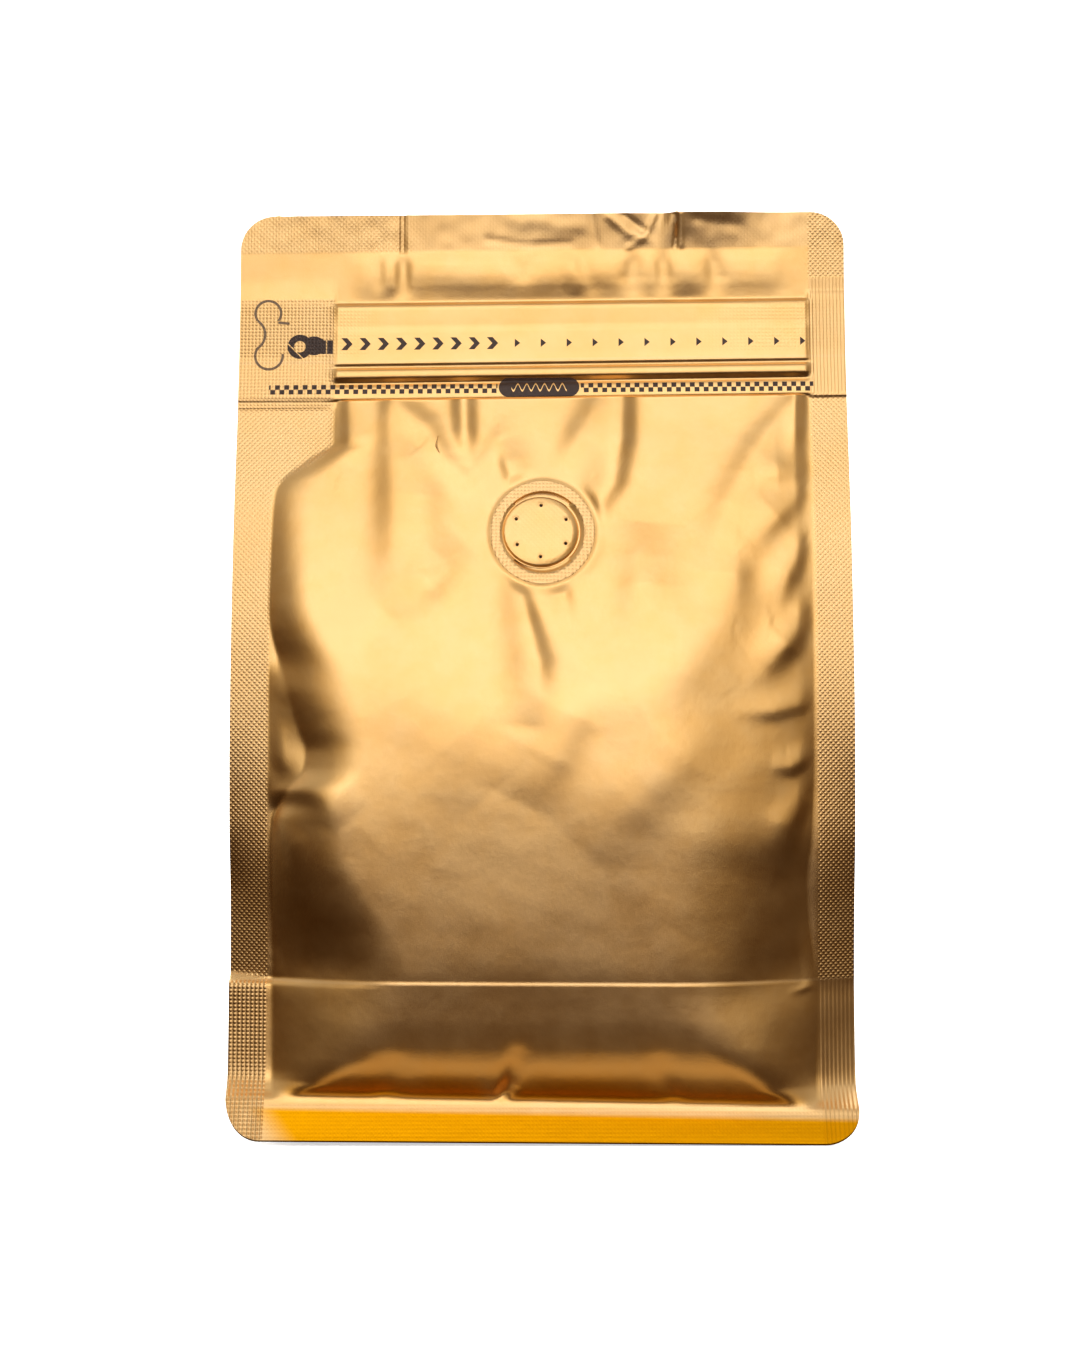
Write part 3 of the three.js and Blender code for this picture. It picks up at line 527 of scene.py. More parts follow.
class Wire:
    """One value in a material: arithmetic on it adds the nodes that work it out."""

    def __init__(self, tree, socket=None):
        self.tree = tree
        self.socket = socket

    def add(self, kind, settings=None, inputs=None, output=0):
        """Adds a node, sets its settings and then its sockets, and gives one of its outputs."""
        node = self.tree.nodes.new(kind)
        for name, value in (settings or {}).items():
            if name == "stops":
                ramp = node.color_ramp
                while len(ramp.elements) < len(value):
                    ramp.elements.new(0.5)
                for element, (place, color) in zip(ramp.elements, value):
                    element.position = place
                    element.color = (*color, 1) if len(color) == 3 else color
            else:
                setattr(node, name, value)
        for name, value in (inputs or {}).items():
            if isinstance(value, Wire):
                self.tree.links.new(value.socket, node.inputs[name])
            else:
                node.inputs[name].default_value = value
        return Wire(self.tree, node.outputs[output])

    def math(self, operation, *others):
        """This value and then the others, put through one operation."""
        return self.add("ShaderNodeMath", {"operation": operation}, dict(enumerate((self, *others))))

    def math_after(self, operation, other):
        """The same with the other value first."""
        return self.add("ShaderNodeMath", {"operation": operation}, {0: other, 1: self})

    def __add__(self, other):
        return self.math("ADD", other)

    def __radd__(self, other):
        return self.math_after("ADD", other)

    def __sub__(self, other):
        return self.math("SUBTRACT", other)

    def __rsub__(self, other):
        return self.math_after("SUBTRACT", other)

    def __mul__(self, other):
        return self.math("MULTIPLY", other)

    def __rmul__(self, other):
        return self.math_after("MULTIPLY", other)

    def __truediv__(self, other):
        return self.math("DIVIDE", other)

    def __rtruediv__(self, other):
        return self.math_after("DIVIDE", other)

    def __abs__(self):
        return self.math("ABSOLUTE")

    def __lt__(self, other):
        return self.math("LESS_THAN", other)

    def __gt__(self, other):
        return self.math("GREATER_THAN", other)

    def wave(self, length):
        """0 to 1 and back over each length."""
        return 0.5 + 0.5 * (self * (2 * math.pi / length)).math("SINE")

    def repeat(self, length):
        return self.math("FLOORED_MODULO", length)

    def rising(self, low, high):
        """0 below low, 1 above high, and smooth between them."""
        return self.add("ShaderNodeMapRange", {"interpolation_type": "SMOOTHSTEP"},
                        {"Value": self, "From Min": low, "From Max": high})

    def between(self, low, high, soft=0.02):
        return self.rising(low - soft, low + soft) * (1 - self.rising(high - soft, high + soft))

    def from_point(self, other, point):
        """Distance of the place (self, other) from a point."""
        across, up = self - point[0], other - point[1]
        return (across * across + up * up).math("SQRT")

    def mix_color(self, low, high):
        """From one colour to another by this share."""
        return self.add("ShaderNodeMix", {"data_type": "RGBA"}, {0: self, 6: low, 7: high}, 2)

    def noise(self, place, scale, detail=2):
        return self.add("ShaderNodeTexNoise", {}, {"Vector": place, "Scale": scale, "Detail": detail})


def highest(*masks):
    """The union of masks."""
    total = masks[0]
    for mask in masks[1:]:
        total = total.math("MAXIMUM", mask)
    return total


GOLD = (0.93, 0.625, 0.29, 1)
GOLD_WARM = (0.90, 0.57, 0.235, 1)
GOLD_PALE = (0.95, 0.68, 0.38, 1)
NEAR_BLACK = (0.030, 0.014, 0.008, 1)
FILM_ROUGHNESS = 0.34


def start_material(name):
    """A new node material, its shader, and the place on the object in millimetres."""
    material = bpy.data.materials.new(name)
    material.use_nodes = True
    tree = material.node_tree
    shader = tree.nodes["Principled BSDF"]
    start = Wire(tree)
    place = start.add("ShaderNodeTexCoord", output=3)
    millimetres = start.add("ShaderNodeVectorMath", {"operation": "SCALE"}, {0: place, 3: 1 / MM})
    parts = [start.add("ShaderNodeSeparateXYZ", inputs={0: millimetres}, output=k) for k in range(3)]
    return material, shader, millimetres, parts


# The colour of the painted reflection at the foot
REFLECTION_AMBER = (0.90, 0.43, 0.002, 1)


def finish_gold(shader, place, emboss, pressed=None, dark_marks=None, painted_highlight=None, painted_reflection=None):
    """The satin gold film: emboss is its pressed relief in millimetres, pressed a mask of the seals."""
    tree = emboss.tree
    broad = emboss.noise(place, 0.035, 3)
    cloudy = emboss.noise(place, 0.19, 4)
    grain = emboss.noise(place, 5.5, 2)
    tone = (broad * 0.6 + cloudy * 0.4).rising(0.36, 0.64)
    color = tone.mix_color(GOLD_WARM, GOLD)
    roughness = FILM_ROUGHNESS + 0.07 * (cloudy - 0.5) + 0.06 * (grain - 0.5)
    if pressed is not None:
        color = (pressed * 0.35).mix_color(color, GOLD_PALE)
        roughness = roughness + 0.05 * pressed
    # Painted highlight: paler gold along lines, on film made a little rougher there
    if painted_highlight is not None:
        color = (painted_highlight * 0.55).mix_color(color, GOLD_PALE)
        roughness = roughness + painted_highlight * 0.06
    # Painted reflection: a warm orange glow mixed into the colour
    if painted_reflection is not None:
        color = painted_reflection.mix_color(color, REFLECTION_AMBER)
    # Dark marks: the print, and the painted shade in the valve's pin holes
    if dark_marks is not None:
        color = dark_marks.mix_color(color, NEAR_BLACK)
        metal = 1 - dark_marks
        roughness = roughness + dark_marks * 0.08
        tree.links.new(metal.socket, shader.inputs["Metallic"])
    else:
        shader.inputs["Metallic"].default_value = 1
    tree.links.new(color.socket, shader.inputs["Base Color"])
    tree.links.new(roughness.socket, shader.inputs["Roughness"])
    relief = emboss + 0.015 * grain + 0.08 * cloudy
    bump = relief.add("ShaderNodeBump", {}, {"Strength": 1.0, "Distance": MM, "Height": relief})
    tree.links.new(bump.socket, shader.inputs["Normal"])


WEAVE = 0.76


def weave(x, z):
    """The diamond pattern that the sealing jaws press into the film."""
    return (x + z).wave(WEAVE * math.sqrt(2)) * (x - z).wave(WEAVE * math.sqrt(2))


def grid(x, z):
    """Small square cells in rows and columns."""
    return x.wave(WEAVE) * z.wave(WEAVE)


material, shader, place, (x, y, z) = start_material("front_film_gold")
level_z = z - 0.0135 * x
print_z = z - 0.0074 * x
left_strip = 1 - x.rising(-57.6, -56.6)
shoulder_edge = x + 57 - 12.4 * z.rising(134, 145)
shoulder_band = level_z.rising(128, 134) * (1 - level_z.rising(153.2, 153.6))
shoulder = (1 - shoulder_edge.rising(-0.6, 0.6)) * shoulder_band
left_fin_mask = left_strip * (1 - level_z.rising(153.2, 153.6))
right_fin_mask = x.rising(56.9, 57.7)
tab_mask = (1 - x.rising(TAB_EDGE - 0.4, TAB_EDGE)) * level_z.between(153.6, 177.5, 0.3)
head_mask = level_z.rising(187.3, 188.2)
foot_mask = 1 - z.rising(7.4, 8.6)
above_crease = z.rising(CREASE - 0.4, CREASE + 0.4)
foot_z = z + 0.02 * x
strength = 0.06 + 0.06 * (1 - z.rising(40, 120)) + 0.08 * (1 - z.rising(30, 34))
sides = highest(left_fin_mask, shoulder, right_fin_mask * (1 - level_z.between(155.5, 181, 0.5)))
foot_ribs = x.wave(0.9) * (0.35 + 0.65 * z.wave(0.8) * (x < 0))
side_pattern = above_crease * weave(x, z) + (1 - above_crease) * foot_ribs
strip_grid = level_z.between(165, 176, 0.6) * highest(x.rising(28, 50), 1 - x.rising(-43, -32)) * 0.5
right_lines = right_fin_mask * level_z.between(155.5, 181, 0.5)
emboss = (
    sides * strength * side_pattern
    + tab_mask * 0.07 * grid(x, z)
    + strip_grid * 0.06 * grid(x, z)
    + right_lines * 0.06 * x.wave(0.74)
    + head_mask * (0.008 + 0.022 * (1 - x.rising(-36, -22))) * (x.wave(0.66) + weave(x, z))
    + foot_mask * 0.022 * grid(x, z)
)
ring_distance = x.from_point(z, VALVE_PLACE)
ring_mask = ring_distance.between(8.7, 11.0, 0.05)
emboss = emboss + ring_mask * 0.06 * grid(x, z)
pressed = highest(sides, tab_mask, head_mask, ring_mask, right_lines, foot_mask)

# The print on the front film: a checked line that marks the zipper, a row of arrows that shows
# which way the strip tears, a plain badge, a small hand, and the cut line round the pull tab.
CHECK = 0.985
upper_check = print_z.between(157.35, 158.35) * (x.repeat(2 * CHECK) < CHECK * 1.06)
lower_check = print_z.between(156.3, 157.3) * ((x + CHECK).repeat(2 * CHECK) < CHECK * 1.06)
checks = highest(upper_check, lower_check) * x.between(-58.4, 57.9)
ARROW_PITCH = 5.56
ARROW_LENGTH = 1.15
arrow_row = abs(print_z - 167.25)
into_arrow = (x + 5.9).repeat(ARROW_PITCH)
arrows = (arrow_row < 0.92 - into_arrow * (0.92 / ARROW_LENGTH)) * x.between(-6.3, 56.6)
CHEVRON_PITCH = 3.9
into_chevron = (x + 43.4).repeat(CHEVRON_PITCH)
chevron_line = abs(into_chevron - 2.1 + arrow_row * 0.9)
chevrons = (chevron_line < 0.62) * (arrow_row < 1.32) * x.between(-43.3, -8.6)
badge_x = (abs(x + 0.7) - 6.5).math("MAXIMUM", 0)
badge_z = print_z - 157.5
badge = (badge_x * badge_x + badge_z * badge_z) < 2.1 * 2.1
teeth = abs(badge_z - 1.5 * (x.wave(1.9) - 0.5)) < 0.2
badge_mark = teeth * (abs(x + 0.7) < 5.9)
clear_of_badge = 1 - (abs(x + 0.7) < 8.9) * (abs(badge_z) < 1.3)
HAND = (-52.0, 166.4)
pinch = x.from_point(z, HAND)
fingers = (pinch < 2.65) * (pinch > 1.25) * (1 - (abs(x + z - (HAND[0] + HAND[1] - 1.9)) < 0.17))
palm_x, palm_z = (x + 49.0) / 2.6, (z - 166.6) / 2.05
palm = ((palm_x * palm_x + palm_z * palm_z) < 1) * (pinch > 1.25)
wrist = x.between(-48.6, -44.9) * (abs(z - 166.3) < 1.5)
cuff = x.between(-46.4, -46.15) * (abs(z - 166.3) < 1.5)
hand = highest(fingers, palm, wrist) * (1 - cuff)
CUT = 0.26
upper_bow = (abs(x.from_point(z, (-58.9, 173.7)) - 2.75) < CUT) * (z > 172.1)
waist = (abs(x.from_point(z, (-63.1, 169.05)) - 3.6) < CUT) * (x > -61.2) * z.between(166.0, 172.2)
lower_bow = (abs(x.from_point(z, (-58.6, 164.4)) - 2.95) < CUT) * (z - 1.3 * (x < -58.6) < 164.8)
tail = (abs(z - 171.7 + 0.1 * (x + 56.6)) < CUT) * x.between(-56.7, -54.3)
cut_line = highest(upper_bow, waist, lower_bow, tail)
dark_marks = highest(checks * clear_of_badge, arrows, chevrons, hand, badge * (1 - badge_mark), cut_line * 0.92)
# Pale lines along the crease and along the lower edge of the tear strip: a painted highlight
fold_highlight = highest(z.between(32.7, 33.3, 0.25) * 0.8, level_z.between(163.3, 163.9, 0.2) * 0.6)
# The foot is painted a warm orange, in a band and in soft curves over it: a painted reflection of the gold
# film in the gold film
arc_top = 13.8 - 4.2 * (abs(x + 3) * (1 / 56)).math("POWER", 4)
arc_top = arc_top - 4.2 * (1 - abs(x + 8.7).rising(0.5, 5.5)) - 1.6 * (1 - abs(x + 28).rising(1, 8))
arc_top = arc_top + 1.6 * (x.wave(37) - 0.5)
reflected_arcs = (1 - foot_z.rising(arc_top - 4.5, arc_top + 2.0)) * foot_z.rising(8.2, 9.8)
reflected_arcs = reflected_arcs * x.between(-52.5, 53.5, 1.5)
reflected_band = (1 - foot_z.rising(5.6, 6.8)) * (x + 0.8 * z).rising(-56, -48)
painted_reflection = highest(reflected_band, reflected_arcs * 0.97)
finish_gold(shader, place, emboss - cut_line * 0.2, pressed, dark_marks=dark_marks, painted_highlight=fold_highlight, painted_reflection=painted_reflection)
front_film.data.materials.append(material)

# The back film: the same laminate without print, sealed round its edge in the same way. It swells
# as far as the front, and has a few long folds of its own.
BACK_FOLDS = [
    [(-30, 178, 2.2, 0.9), (-26, 158, 3.0, 1.3), (-19, 128, 5.0, 0.6)],
    [(-16, 176, 2.0, -0.8), (-14, 156, 2.4, -1.1), (-11, 132, 4.0, -0.6)],
    [(6, 174, 2.0, 0.6), (4, 156, 2.6, 0.8), (2, 136, 3.6, 0.3)],
    [(26, 178, 2.2, -0.9), (22, 158, 2.6, -1.3), (16, 130, 4.6, -0.6)],
    [(36, 176, 2.0, 0.8), (38, 150, 3.0, 1.2), (34, 118, 5.0, 0.5)],
    [(-53, 98, 3.2, -1.4), (-47, 90, 4.0, -2.4), (-41, 80, 4.0, -1.4)],
    [(53, 106, 3.0, -1.3), (48, 96, 3.6, -2.2), (44, 84, 3.8, -1.2)],
    [(-52, 66, 1.8, -1.2), (-49, 50, 2.2, -1.6)],
    [(51, 70, 1.8, -1.2), (49, 52, 2.2, -1.6)],
    [(-10, 90, 5.0, 0.7), (-2, 70, 6.0, 0.5)],
    [(14, 96, 5.0, -0.6), (18, 72, 6.0, -0.5)],
    [(8, 8.6, 1.0, -1.2), (7, 13, 1.7, -1.0), (5, 19, 2.4, -0.4)],
]
BACK_DENTS = [
    ((-42, 34.5), (13, 12, 6, 8), 2.3),
    ((43, 34.5), (12, 12, 6, 8), 2.3),
]
BACK_SEAM = 56.8


def back_depth(x, z):
    """Depth of the back film's outer face behind the middle plane."""
    seam = seam_depth(x, z)
    reach = along(RIGHT_REACH, z)
    share = 1 - (1 - np.clip((BACK_SEAM - np.abs(x)) / reach, 0, 1)) ** SHOULDER
    loose = smooth((x + BACK_SEAM) / 3.2) * smooth((BACK_SEAM - x) / 3.2)
    neck = smooth((HEAD_SEAL - z) / 9) * smooth((z - FOOT_LINE) / 3)
    middle = along(MIDDLE_DEPTH[:-1] + [(163, 4.4), (172, 2.5), (184, 1.3), (HEAD_SEAL, 0.7)], z)
    swell = np.where((z > 7) & (z < HEAD_SEAL), np.maximum(0, middle - seam), 0) * share
    folds = sum(fold(path, x, z) for path in BACK_FOLDS)
    folds = folds + sum(dent(place, radii, depth, x, z) for place, radii, depth in BACK_DENTS)
    folds = folds + 0.5 * ripples(x, z, 28, 12) + 0.16 * ripples(x, z, 11, 13)
    crease = -0.5 * np.exp(-np.abs(z - CREASE) / 0.8)
    pressed = sum(fold(path, -x, z) for path in HEAD_CREASES) * smooth((z - HEAD_SEAL + 0.6) / 1.0)
    return seam + foot_flare(z) + swell + (folds + crease) * loose * neck + 0.6 * pressed - head_bend(x, z)


back_rows = np.concatenate([
    corner_rows(FLARE_TIP, 1)[:-1],
    steps((6.4, FOOT_LINE, 0.4), (FOOT_LINE, 12, 0.6), (12, 31, 1.0), (31, 35, 0.5), (35, 189, 1.1))[:-1],
    corner_rows(HEIGHT, -1)[::-1],
])
heights = back_rows[:, None]
reach_out = HALF_WIDTH - corner_cut(heights, HEIGHT)
share = np.linspace(0, 1, 112)
fin = np.linspace(0, 1, 9)
seam_line = np.full(heights.shape, BACK_SEAM)
grid_x = np.concatenate([
    reach_out + (seam_line - reach_out) * fin[:-1],
    seam_line - 2 * seam_line * (share - 0.055 * np.sin(2 * math.pi * share)),
    -seam_line - (reach_out - seam_line) * fin[1:],
], axis=1)
grid_z = np.broadcast_to(heights, grid_x.shape)
grid_y = back_depth(grid_x, grid_z)
back_film = film("back_film", slanted(grid_x, grid_y, grid_z), seal_thickness(back_rows))
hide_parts("pouch")
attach(back_film, "root")

material, shader, place, (x, y, z) = start_material("back_film_gold")
sides = highest(1 - x.rising(-57.6, -56.6), x.rising(56.6, 57.6))
head_mask = z.rising(187.3, 188.2)
foot_mask = 1 - z.rising(7.4, 8.6)
emboss = sides * 0.06 * weave(x, z) + head_mask * 0.03 * weave(x, z) + foot_mask * 0.022 * grid(x, z)
# A pale line along the crease: a painted highlight, as on the front
painted_highlight = z.between(32.7, 33.3, 0.25) * 0.8
finish_gold(shader, place, emboss, highest(sides, head_mask, foot_mask), painted_highlight=painted_highlight)
back_film.data.materials.append(material)

# The side gussets: a web of the same laminate on each side, folded inwards on its middle line.
# Its two edges are sealed to the backs of the front and back fins, and it opens out at the foot.
GUSSET_FOLD = [
    (0, 0.5), (CREASE, 1.5), (60, 4), (80, 8), (100, 13.5), (120, 20), (140, 25), (154.6, 22), (166, 7),
    (172, 0.4), (HEIGHT, 0.4),
]
GUSSET_SEAM = 56.9
LEG_COLUMNS = 72
FLANGE_COLUMNS = 7


def foot_tuck(z):
    """How far the filled body draws in below the foot line, round to the base."""
    return 5.5 * (1 - np.sqrt(np.maximum(0, 1 - (1 - np.clip(z / FOOT_LINE, 0, 1)) ** 2)))


def gusset_inset(across, z):
    """How far the gusset stands in from its seams: across is 0 and 1 on them."""
    share = 1 - np.abs(1 - 2 * across)
    depth = along(RIGHT_DEPTH, np.maximum(z, FOOT_LINE))
    bow = 0.16 * depth * np.sin(math.pi * share) * smooth((172 - z) / 30)
    soft = 0.9 * ripples(across * 60, z, 24, 21, 2) * np.sin(math.pi * across) * smooth((150 - z) / 40)
    return along(GUSSET_FOLD, z) * share ** 1.15 - bow + soft + foot_tuck(z)


def gusset(name, side):
    rows = steps((0, 3, 0.4), (3, 12, 0.75), (12, 170, 1.25), (170, 195.2, 1.4))
    heights = rows[:, None]
    seam = GUSSET_SEAM
    top = HEIGHT - 0.4
    reach_out = HALF_WIDTH - 0.35 - np.where(heights > 100, corner_cut(heights, top), 0)
    reach_out = np.where(heights < FOOT_LINE, seam + 0.05, np.maximum(seam + 0.05, reach_out))
    flange = np.linspace(0, 1, FLANGE_COLUMNS + 1)[:-1]
    leg = np.linspace(0, 1, LEG_COLUMNS)
    seam_line = -seam_depth(side * 57, np.maximum(heights, FOOT_LINE)) + 2 * FILM + 0.02 + foot_tuck(heights)
    back_line = -seam_line
    bend = -head_bend(side * 57 + 0 * heights, heights)
    out_x = np.concatenate([
        reach_out + (seam - reach_out) * flange,
        seam - gusset_inset(leg, heights) * np.ones_like(leg),
        seam + (reach_out - seam) * (1 - flange[::-1]),
    ], axis=1)
    turn = fin_turn(side * out_x, np.maximum(heights, FOOT_LINE))
    out_y = np.concatenate([
        seam_line + turn[:, :FLANGE_COLUMNS],
        seam_line + (back_line - seam_line) * leg,
        back_line - turn[:, -FLANGE_COLUMNS:],
    ], axis=1) + bend
    out_z = np.broadcast_to(heights, out_x.shape)
    points = slanted(side * out_x, out_y, out_z)
    # The feet of the gussets lie level on the base
    points[..., 2] = out_z + (points[..., 2] - out_z) * smooth(heights / 5)
    if side < 0:
        points = points[:, ::-1]
    return film(name, points, np.full(len(rows), FILM))


def gusset_material(name):
    material, shader, place, (x, y, z) = start_material(name)
    edge = abs(x).rising(57.2, 57.8)
    emboss = edge * 0.05 * weave(y, z)
    finish_gold(shader, place, emboss, edge)
    return material


gusset_gold = gusset_material("gusset_gold")
for name, side in (("gusset_left", -1), ("gusset_right", 1)):
    web = gusset(name, side)
    web.data.materials.append(gusset_gold)
    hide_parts("pouch")
    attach(web, "root")

# The base: a flat web that the pouch stands on. It turns up at the front and the back to the foot
# seals, and is joined to the feet of the gussets at its sides.
BASE_ROWS = 60


def base_film():
    turn_up = steps((FOOT_LINE - 0.3, 0, 0.5))[:, None]
    wall_x = GUSSET_SEAM - foot_tuck(turn_up)
    wall_y = -(along(RIGHT_DEPTH, FOOT_LINE) - 2 * FILM - foot_tuck(turn_up))
    across = np.linspace(0, 1, BASE_ROWS)[1:-1, None]
    flat_x = GUSSET_SEAM - gusset_inset(across, 0)
    flat_y = wall_y[-1, 0] * (1 - 2 * across)
    extent = np.concatenate([wall_x, flat_x, wall_x[::-1]])
    depth = np.concatenate([wall_y, flat_y, -wall_y[::-1]])
    height = np.concatenate([turn_up, 0 * flat_x, turn_up[::-1]])
    along_x = np.linspace(-1, 1, 90)[None, :]
    grid_x = extent * along_x
    grid_y = depth + 0 * grid_x
    puckers = 0.25 * (ripples(grid_x, grid_y, 16, 31) + 1) * smooth((52 - np.abs(grid_x)) / 20)
    grid_z = height + np.where(height <= 0, puckers * smooth((27 - np.abs(grid_y)) / 12), 0)
    points = np.stack([grid_x, grid_y, grid_z], axis=2)
    return film("base_film", points[:, ::-1], np.full(len(points), FILM))


base = base_film()
material, shader, place, (x, y, z) = start_material("base_gold")
edge = abs(y).rising(27, 28.5)
finish_gold(shader, place, edge * 0.03 * grid(x, y), edge)
base.data.materials.append(material)
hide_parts("pouch")
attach(base, "root")

# The valve: a moulded disc welded behind the film, which covers it like a drum skin. The film over
# it has a ring of pin holes that let gas out, and a thin groove where it is pressed to the ring.
DISC_RADIUS = 8.22
DISC_RISE = 0.28
DISC_EDGE = -0.55
DISC_SHIFT = (-0.28, 0.12)
VALVE_LEAN = math.atan(valve_plane(VALVE_PLACE[1] + 1) - valve_plane(VALVE_PLACE[1]))
PIN_CIRCLE = 5.9
PIN_RADIUS = 0.36
PIN_TURNS = [90, 27, -29, -91, -148, 152]


def valve_disc():
    """A closed dome with a pit at each pin hole, in its own flat: across, up and outwards."""
    radii = steps((0.02, 5.2, 0.5), (5.2, 6.6, 0.1), (6.6, 7.7, 0.25), (7.7, DISC_RADIUS, 0.06))
    turns = np.linspace(0, 2 * math.pi, 360, endpoint=False)
    radius, turn = np.meshgrid(radii, turns, indexing="ij")
    across, up = radius * np.cos(turn), radius * np.sin(turn)
    out = 0.12 + DISC_RISE * (1 - (radius / DISC_RADIUS) ** 2) - 0.4 * smooth((radius - 7.6) / 0.45) ** 2
    # Gas has lifted the left side, so that the right side falls away to the edge
    sunk = (0.5 + 0.5 * np.cos(turn + 0.3)) ** 2
    out = out - 0.55 * sunk * smooth((radius - 6.5) / 1.7) + 0.05 * ripples(across, up, 7, 41)
    for degrees in PIN_TURNS:
        pin = PIN_CIRCLE * math.cos(math.radians(degrees)), PIN_CIRCLE * math.sin(math.radians(degrees))
        away = np.hypot(across - pin[0], up - pin[1])
        out = out - 0.45 * smooth((PIN_RADIUS - away) / 0.2) + 0.05 * np.exp(-((away - 0.5) / 0.2) ** 2)
    rings = [np.stack([across, up, out], axis=2)]
    edge = np.stack([across[-1], up[-1], np.full(360, DISC_EDGE)], axis=1)
    rings.append(edge[None])
    rings.append((edge * (0.5, 0.5, 1))[None])
    points = np.concatenate(rings)
    count = len(points)
    index = np.arange(count * 360).reshape(count, 360)
    after = np.roll(index, -1, axis=1)
    faces = np.stack([index[:-1], index[1:], after[1:], after[:-1]], axis=2).reshape(-1, 4).tolist()
    faces.append(index[0].tolist())
    faces.append(index[-1][::-1].tolist())
    rise, run = math.sin(VALVE_LEAN), math.cos(VALVE_LEAN)
    across, up, out = points.reshape(-1, 3).T
    centre = valve_plane(VALVE_PLACE[1])
    shown = np.stack([
        across + DISC_SHIFT[0],
        -(centre + up * rise + out * run),
        VALVE_PLACE[1] + DISC_SHIFT[1] + up * run - out * rise,
    ], axis=1)
    mesh = bpy.data.meshes.new("valve_disc")
    mesh.from_pydata((shown * MM).tolist(), [], faces)
    mesh.shade_smooth()
    mesh.set_sharp_from_angle(angle=math.radians(50))
    disc = bpy.data.objects.new("valve_disc", mesh)
    bpy.context.collection.objects.link(disc)
    return disc


disc = valve_disc()
material, shader, place, (x, y, z) = start_material("valve_gold")
disc_middle = VALVE_PLACE + DISC_SHIFT
# The pin holes are painted near black: painted shade inside them
holes = []
for turn in map(math.radians, PIN_TURNS):
    pin = disc_middle + PIN_CIRCLE * np.array([math.cos(turn), math.sin(turn) * math.cos(VALVE_LEAN)])
    holes.append(1 - x.from_point(z, pin).rising(PIN_RADIUS - 0.12, PIN_RADIUS + 0.02))
finish_gold(shader, place, 0.01 * weave(x, z), dark_marks=highest(*holes))
disc.data.materials.append(material)
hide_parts("valve")
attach(disc, "root")

# The studio floor: white card that runs up all round in one smooth sweep. It is lit by itself as
# well, so that it stays white, and the gold doesn't mirror it.
FLOOR_RADIUS = 2.2
SWEEP = 1.2


def studio_floor():
    turns = np.linspace(0, math.pi / 2, 16)
    profile = [(0.0, 0.0), (FLOOR_RADIUS * 0.5, 0.0)]
    profile += [(FLOOR_RADIUS + SWEEP * math.sin(t), SWEEP * (1 - math.cos(t))) for t in turns]
    profile.append((FLOOR_RADIUS + SWEEP, 4.5))
    spokes = np.linspace(0, 2 * math.pi, 96, endpoint=False)
    points = [(0, 0, 0)]
    for radius, height in profile[1:]:
        points += [(radius * math.cos(a), radius * math.sin(a), height) for a in spokes]
    faces = [(0, 1 + k, 1 + (k + 1) % 96) for k in range(96)]
    for ring in range(len(profile) - 2):
        low, high = 1 + ring * 96, 1 + (ring + 1) * 96
        faces += [(low + k, high + k, high + (k + 1) % 96, low + (k + 1) % 96) for k in range(96)]
    mesh = bpy.data.meshes.new("studio_floor")
    mesh.from_pydata(points, [], faces)
    mesh.shade_smooth()
    floor = bpy.data.objects.new("studio_floor", mesh)
    bpy.context.collection.objects.link(floor)
    return floor


floor = studio_floor()
material, shader, place, _ = start_material("white_card")
mottle = place.noise(place, 0.004, 2)
card = mottle.mix_color((0.90, 0.90, 0.90, 1), (0.94, 0.94, 0.93, 1))
material.node_tree.links.new(card.socket, shader.inputs["Base Color"])
shader.inputs["Roughness"].default_value = 0.9
shader.inputs["Emission Color"].default_value = (1, 1, 1, 1)
shader.inputs["Emission Strength"].default_value = 0.5
floor.data.materials.append(material)
floor.visible_glossy = False
floor.visible_shadow = False

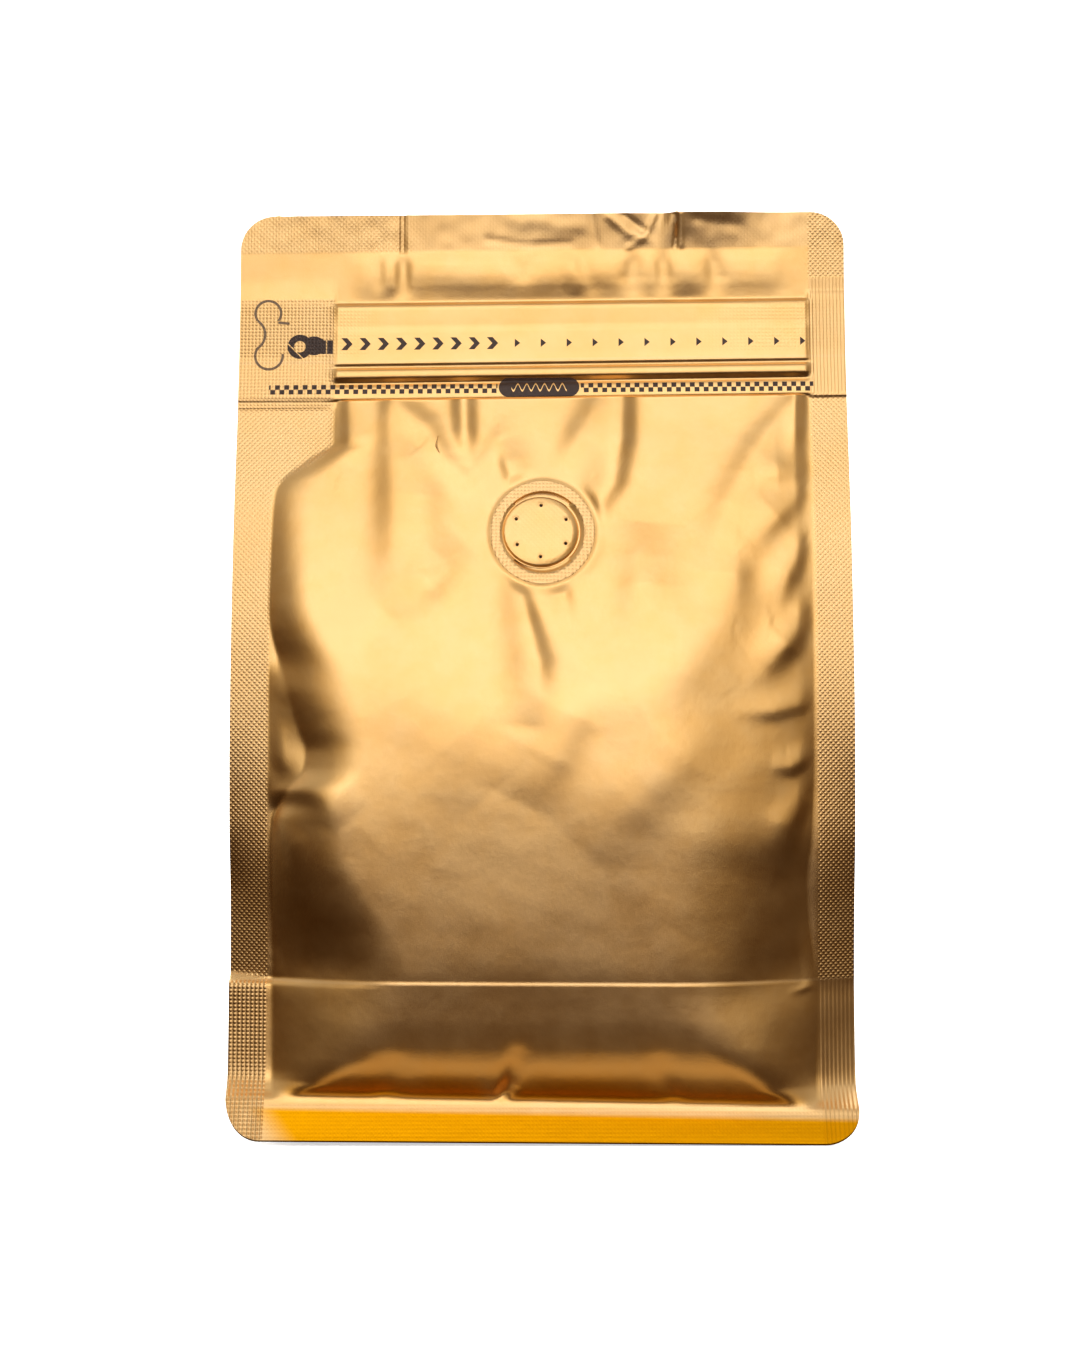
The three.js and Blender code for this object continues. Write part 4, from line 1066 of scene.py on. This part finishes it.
# The light: four tall soft boxes in front, each wider and warmer than the last, one behind, and a dim
# sky over a dark ground. A low warm panel at the foot stands in for light that the floor throws back.
world = bpy.data.worlds.new("studio_light")
world.use_nodes = True
bpy.context.scene.world = world
tree = world.node_tree
sky = Wire(tree)
direction = sky.add("ShaderNodeTexCoord", output=0)
toward_y, toward_z = (sky.add("ShaderNodeSeparateXYZ", inputs={0: direction}, output=k) for k in (1, 2))
FRONT_STOPS = [
    (0.0, (0.03, 0.014, 0.004)), (0.40, (0.04, 0.02, 0.006)), (0.48, (0.05, 0.025, 0.008)),
    (0.54, (0.08, 0.045, 0.018)),
    (0.64, (0.22, 0.17, 0.11)), (0.85, (0.36, 0.33, 0.29)), (1.0, (0.42, 0.40, 0.36)),
]
BACK_STOPS = [
    (0.0, (0.04, 0.02, 0.006)), (0.40, (0.06, 0.04, 0.02)), (0.50, (0.20, 0.17, 0.13)),
    (0.62, (0.70, 0.68, 0.64)),
    (0.75, (1.0, 0.98, 0.95)), (1.0, (0.6, 0.6, 0.6)),
]
height = (toward_z + 1) * 0.5
front_sky = height.add("ShaderNodeValToRGB", {"stops": FRONT_STOPS}, {0: height})
back_sky = height.add("ShaderNodeValToRGB", {"stops": BACK_STOPS}, {0: height})
sky_color = toward_y.rising(-0.15, 0.6).mix_color(front_sky, back_sky)
background = tree.nodes["Background"]
tree.links.new(sky_color.socket, background.inputs["Color"])
background.inputs["Strength"].default_value = 1.0


def soft_box(name, place, aim, size, radiance):
    """A rectangular lamp whose face shines with the given radiance."""
    data = bpy.data.lights.new(name, "AREA")
    data.shape = "RECTANGLE"
    data.size, data.size_y = size
    data.energy = radiance * math.pi * size[0] * size[1]
    lamp = bpy.data.objects.new(name, data)
    lamp.location = place
    lamp.rotation_euler = (Vector(aim) - lamp.location).to_track_quat("-Z", "Y").to_euler()
    lamp.visible_camera = False
    bpy.context.collection.objects.link(lamp)
    return lamp


# The front light is brightest and palest in its middle, and falls off to a warm edge
for name, width, tall, radiance, tint in [
    ("front_core", 0.30, 1.30, 1.50, (0.98, 1.0, 1.34)),
    ("front_inner", 0.60, 1.34, 1.10, (1.0, 0.99, 1.20)),
    ("front_middle", 1.0, 1.40, 0.70, (1.0, 0.96, 0.84)),
    ("front_outer", 1.66, 1.50, 0.30, (1.0, 0.85, 0.48)),
]:
    centre = 0.24 + tall / 2
    soft_box(name, (0.01, -0.80, centre), (0.01, 0, centre), (width, tall), radiance).data.color = tint
soft_box("back_box", (0, 0.95, 0.86), (0, 0, 0.86), (1.5, 1.0), 0.9)
floor_glow = soft_box("floor_glow", (0, -0.058, 0.001), (0, -0.058, 1), (0.11, 0.024), 0.46)
floor_glow.data.color = (1.0, 0.74, 0.40)
bpy.context.scene.view_settings.view_transform = "Standard"
bpy.context.scene.view_settings.look = "Medium High Contrast"
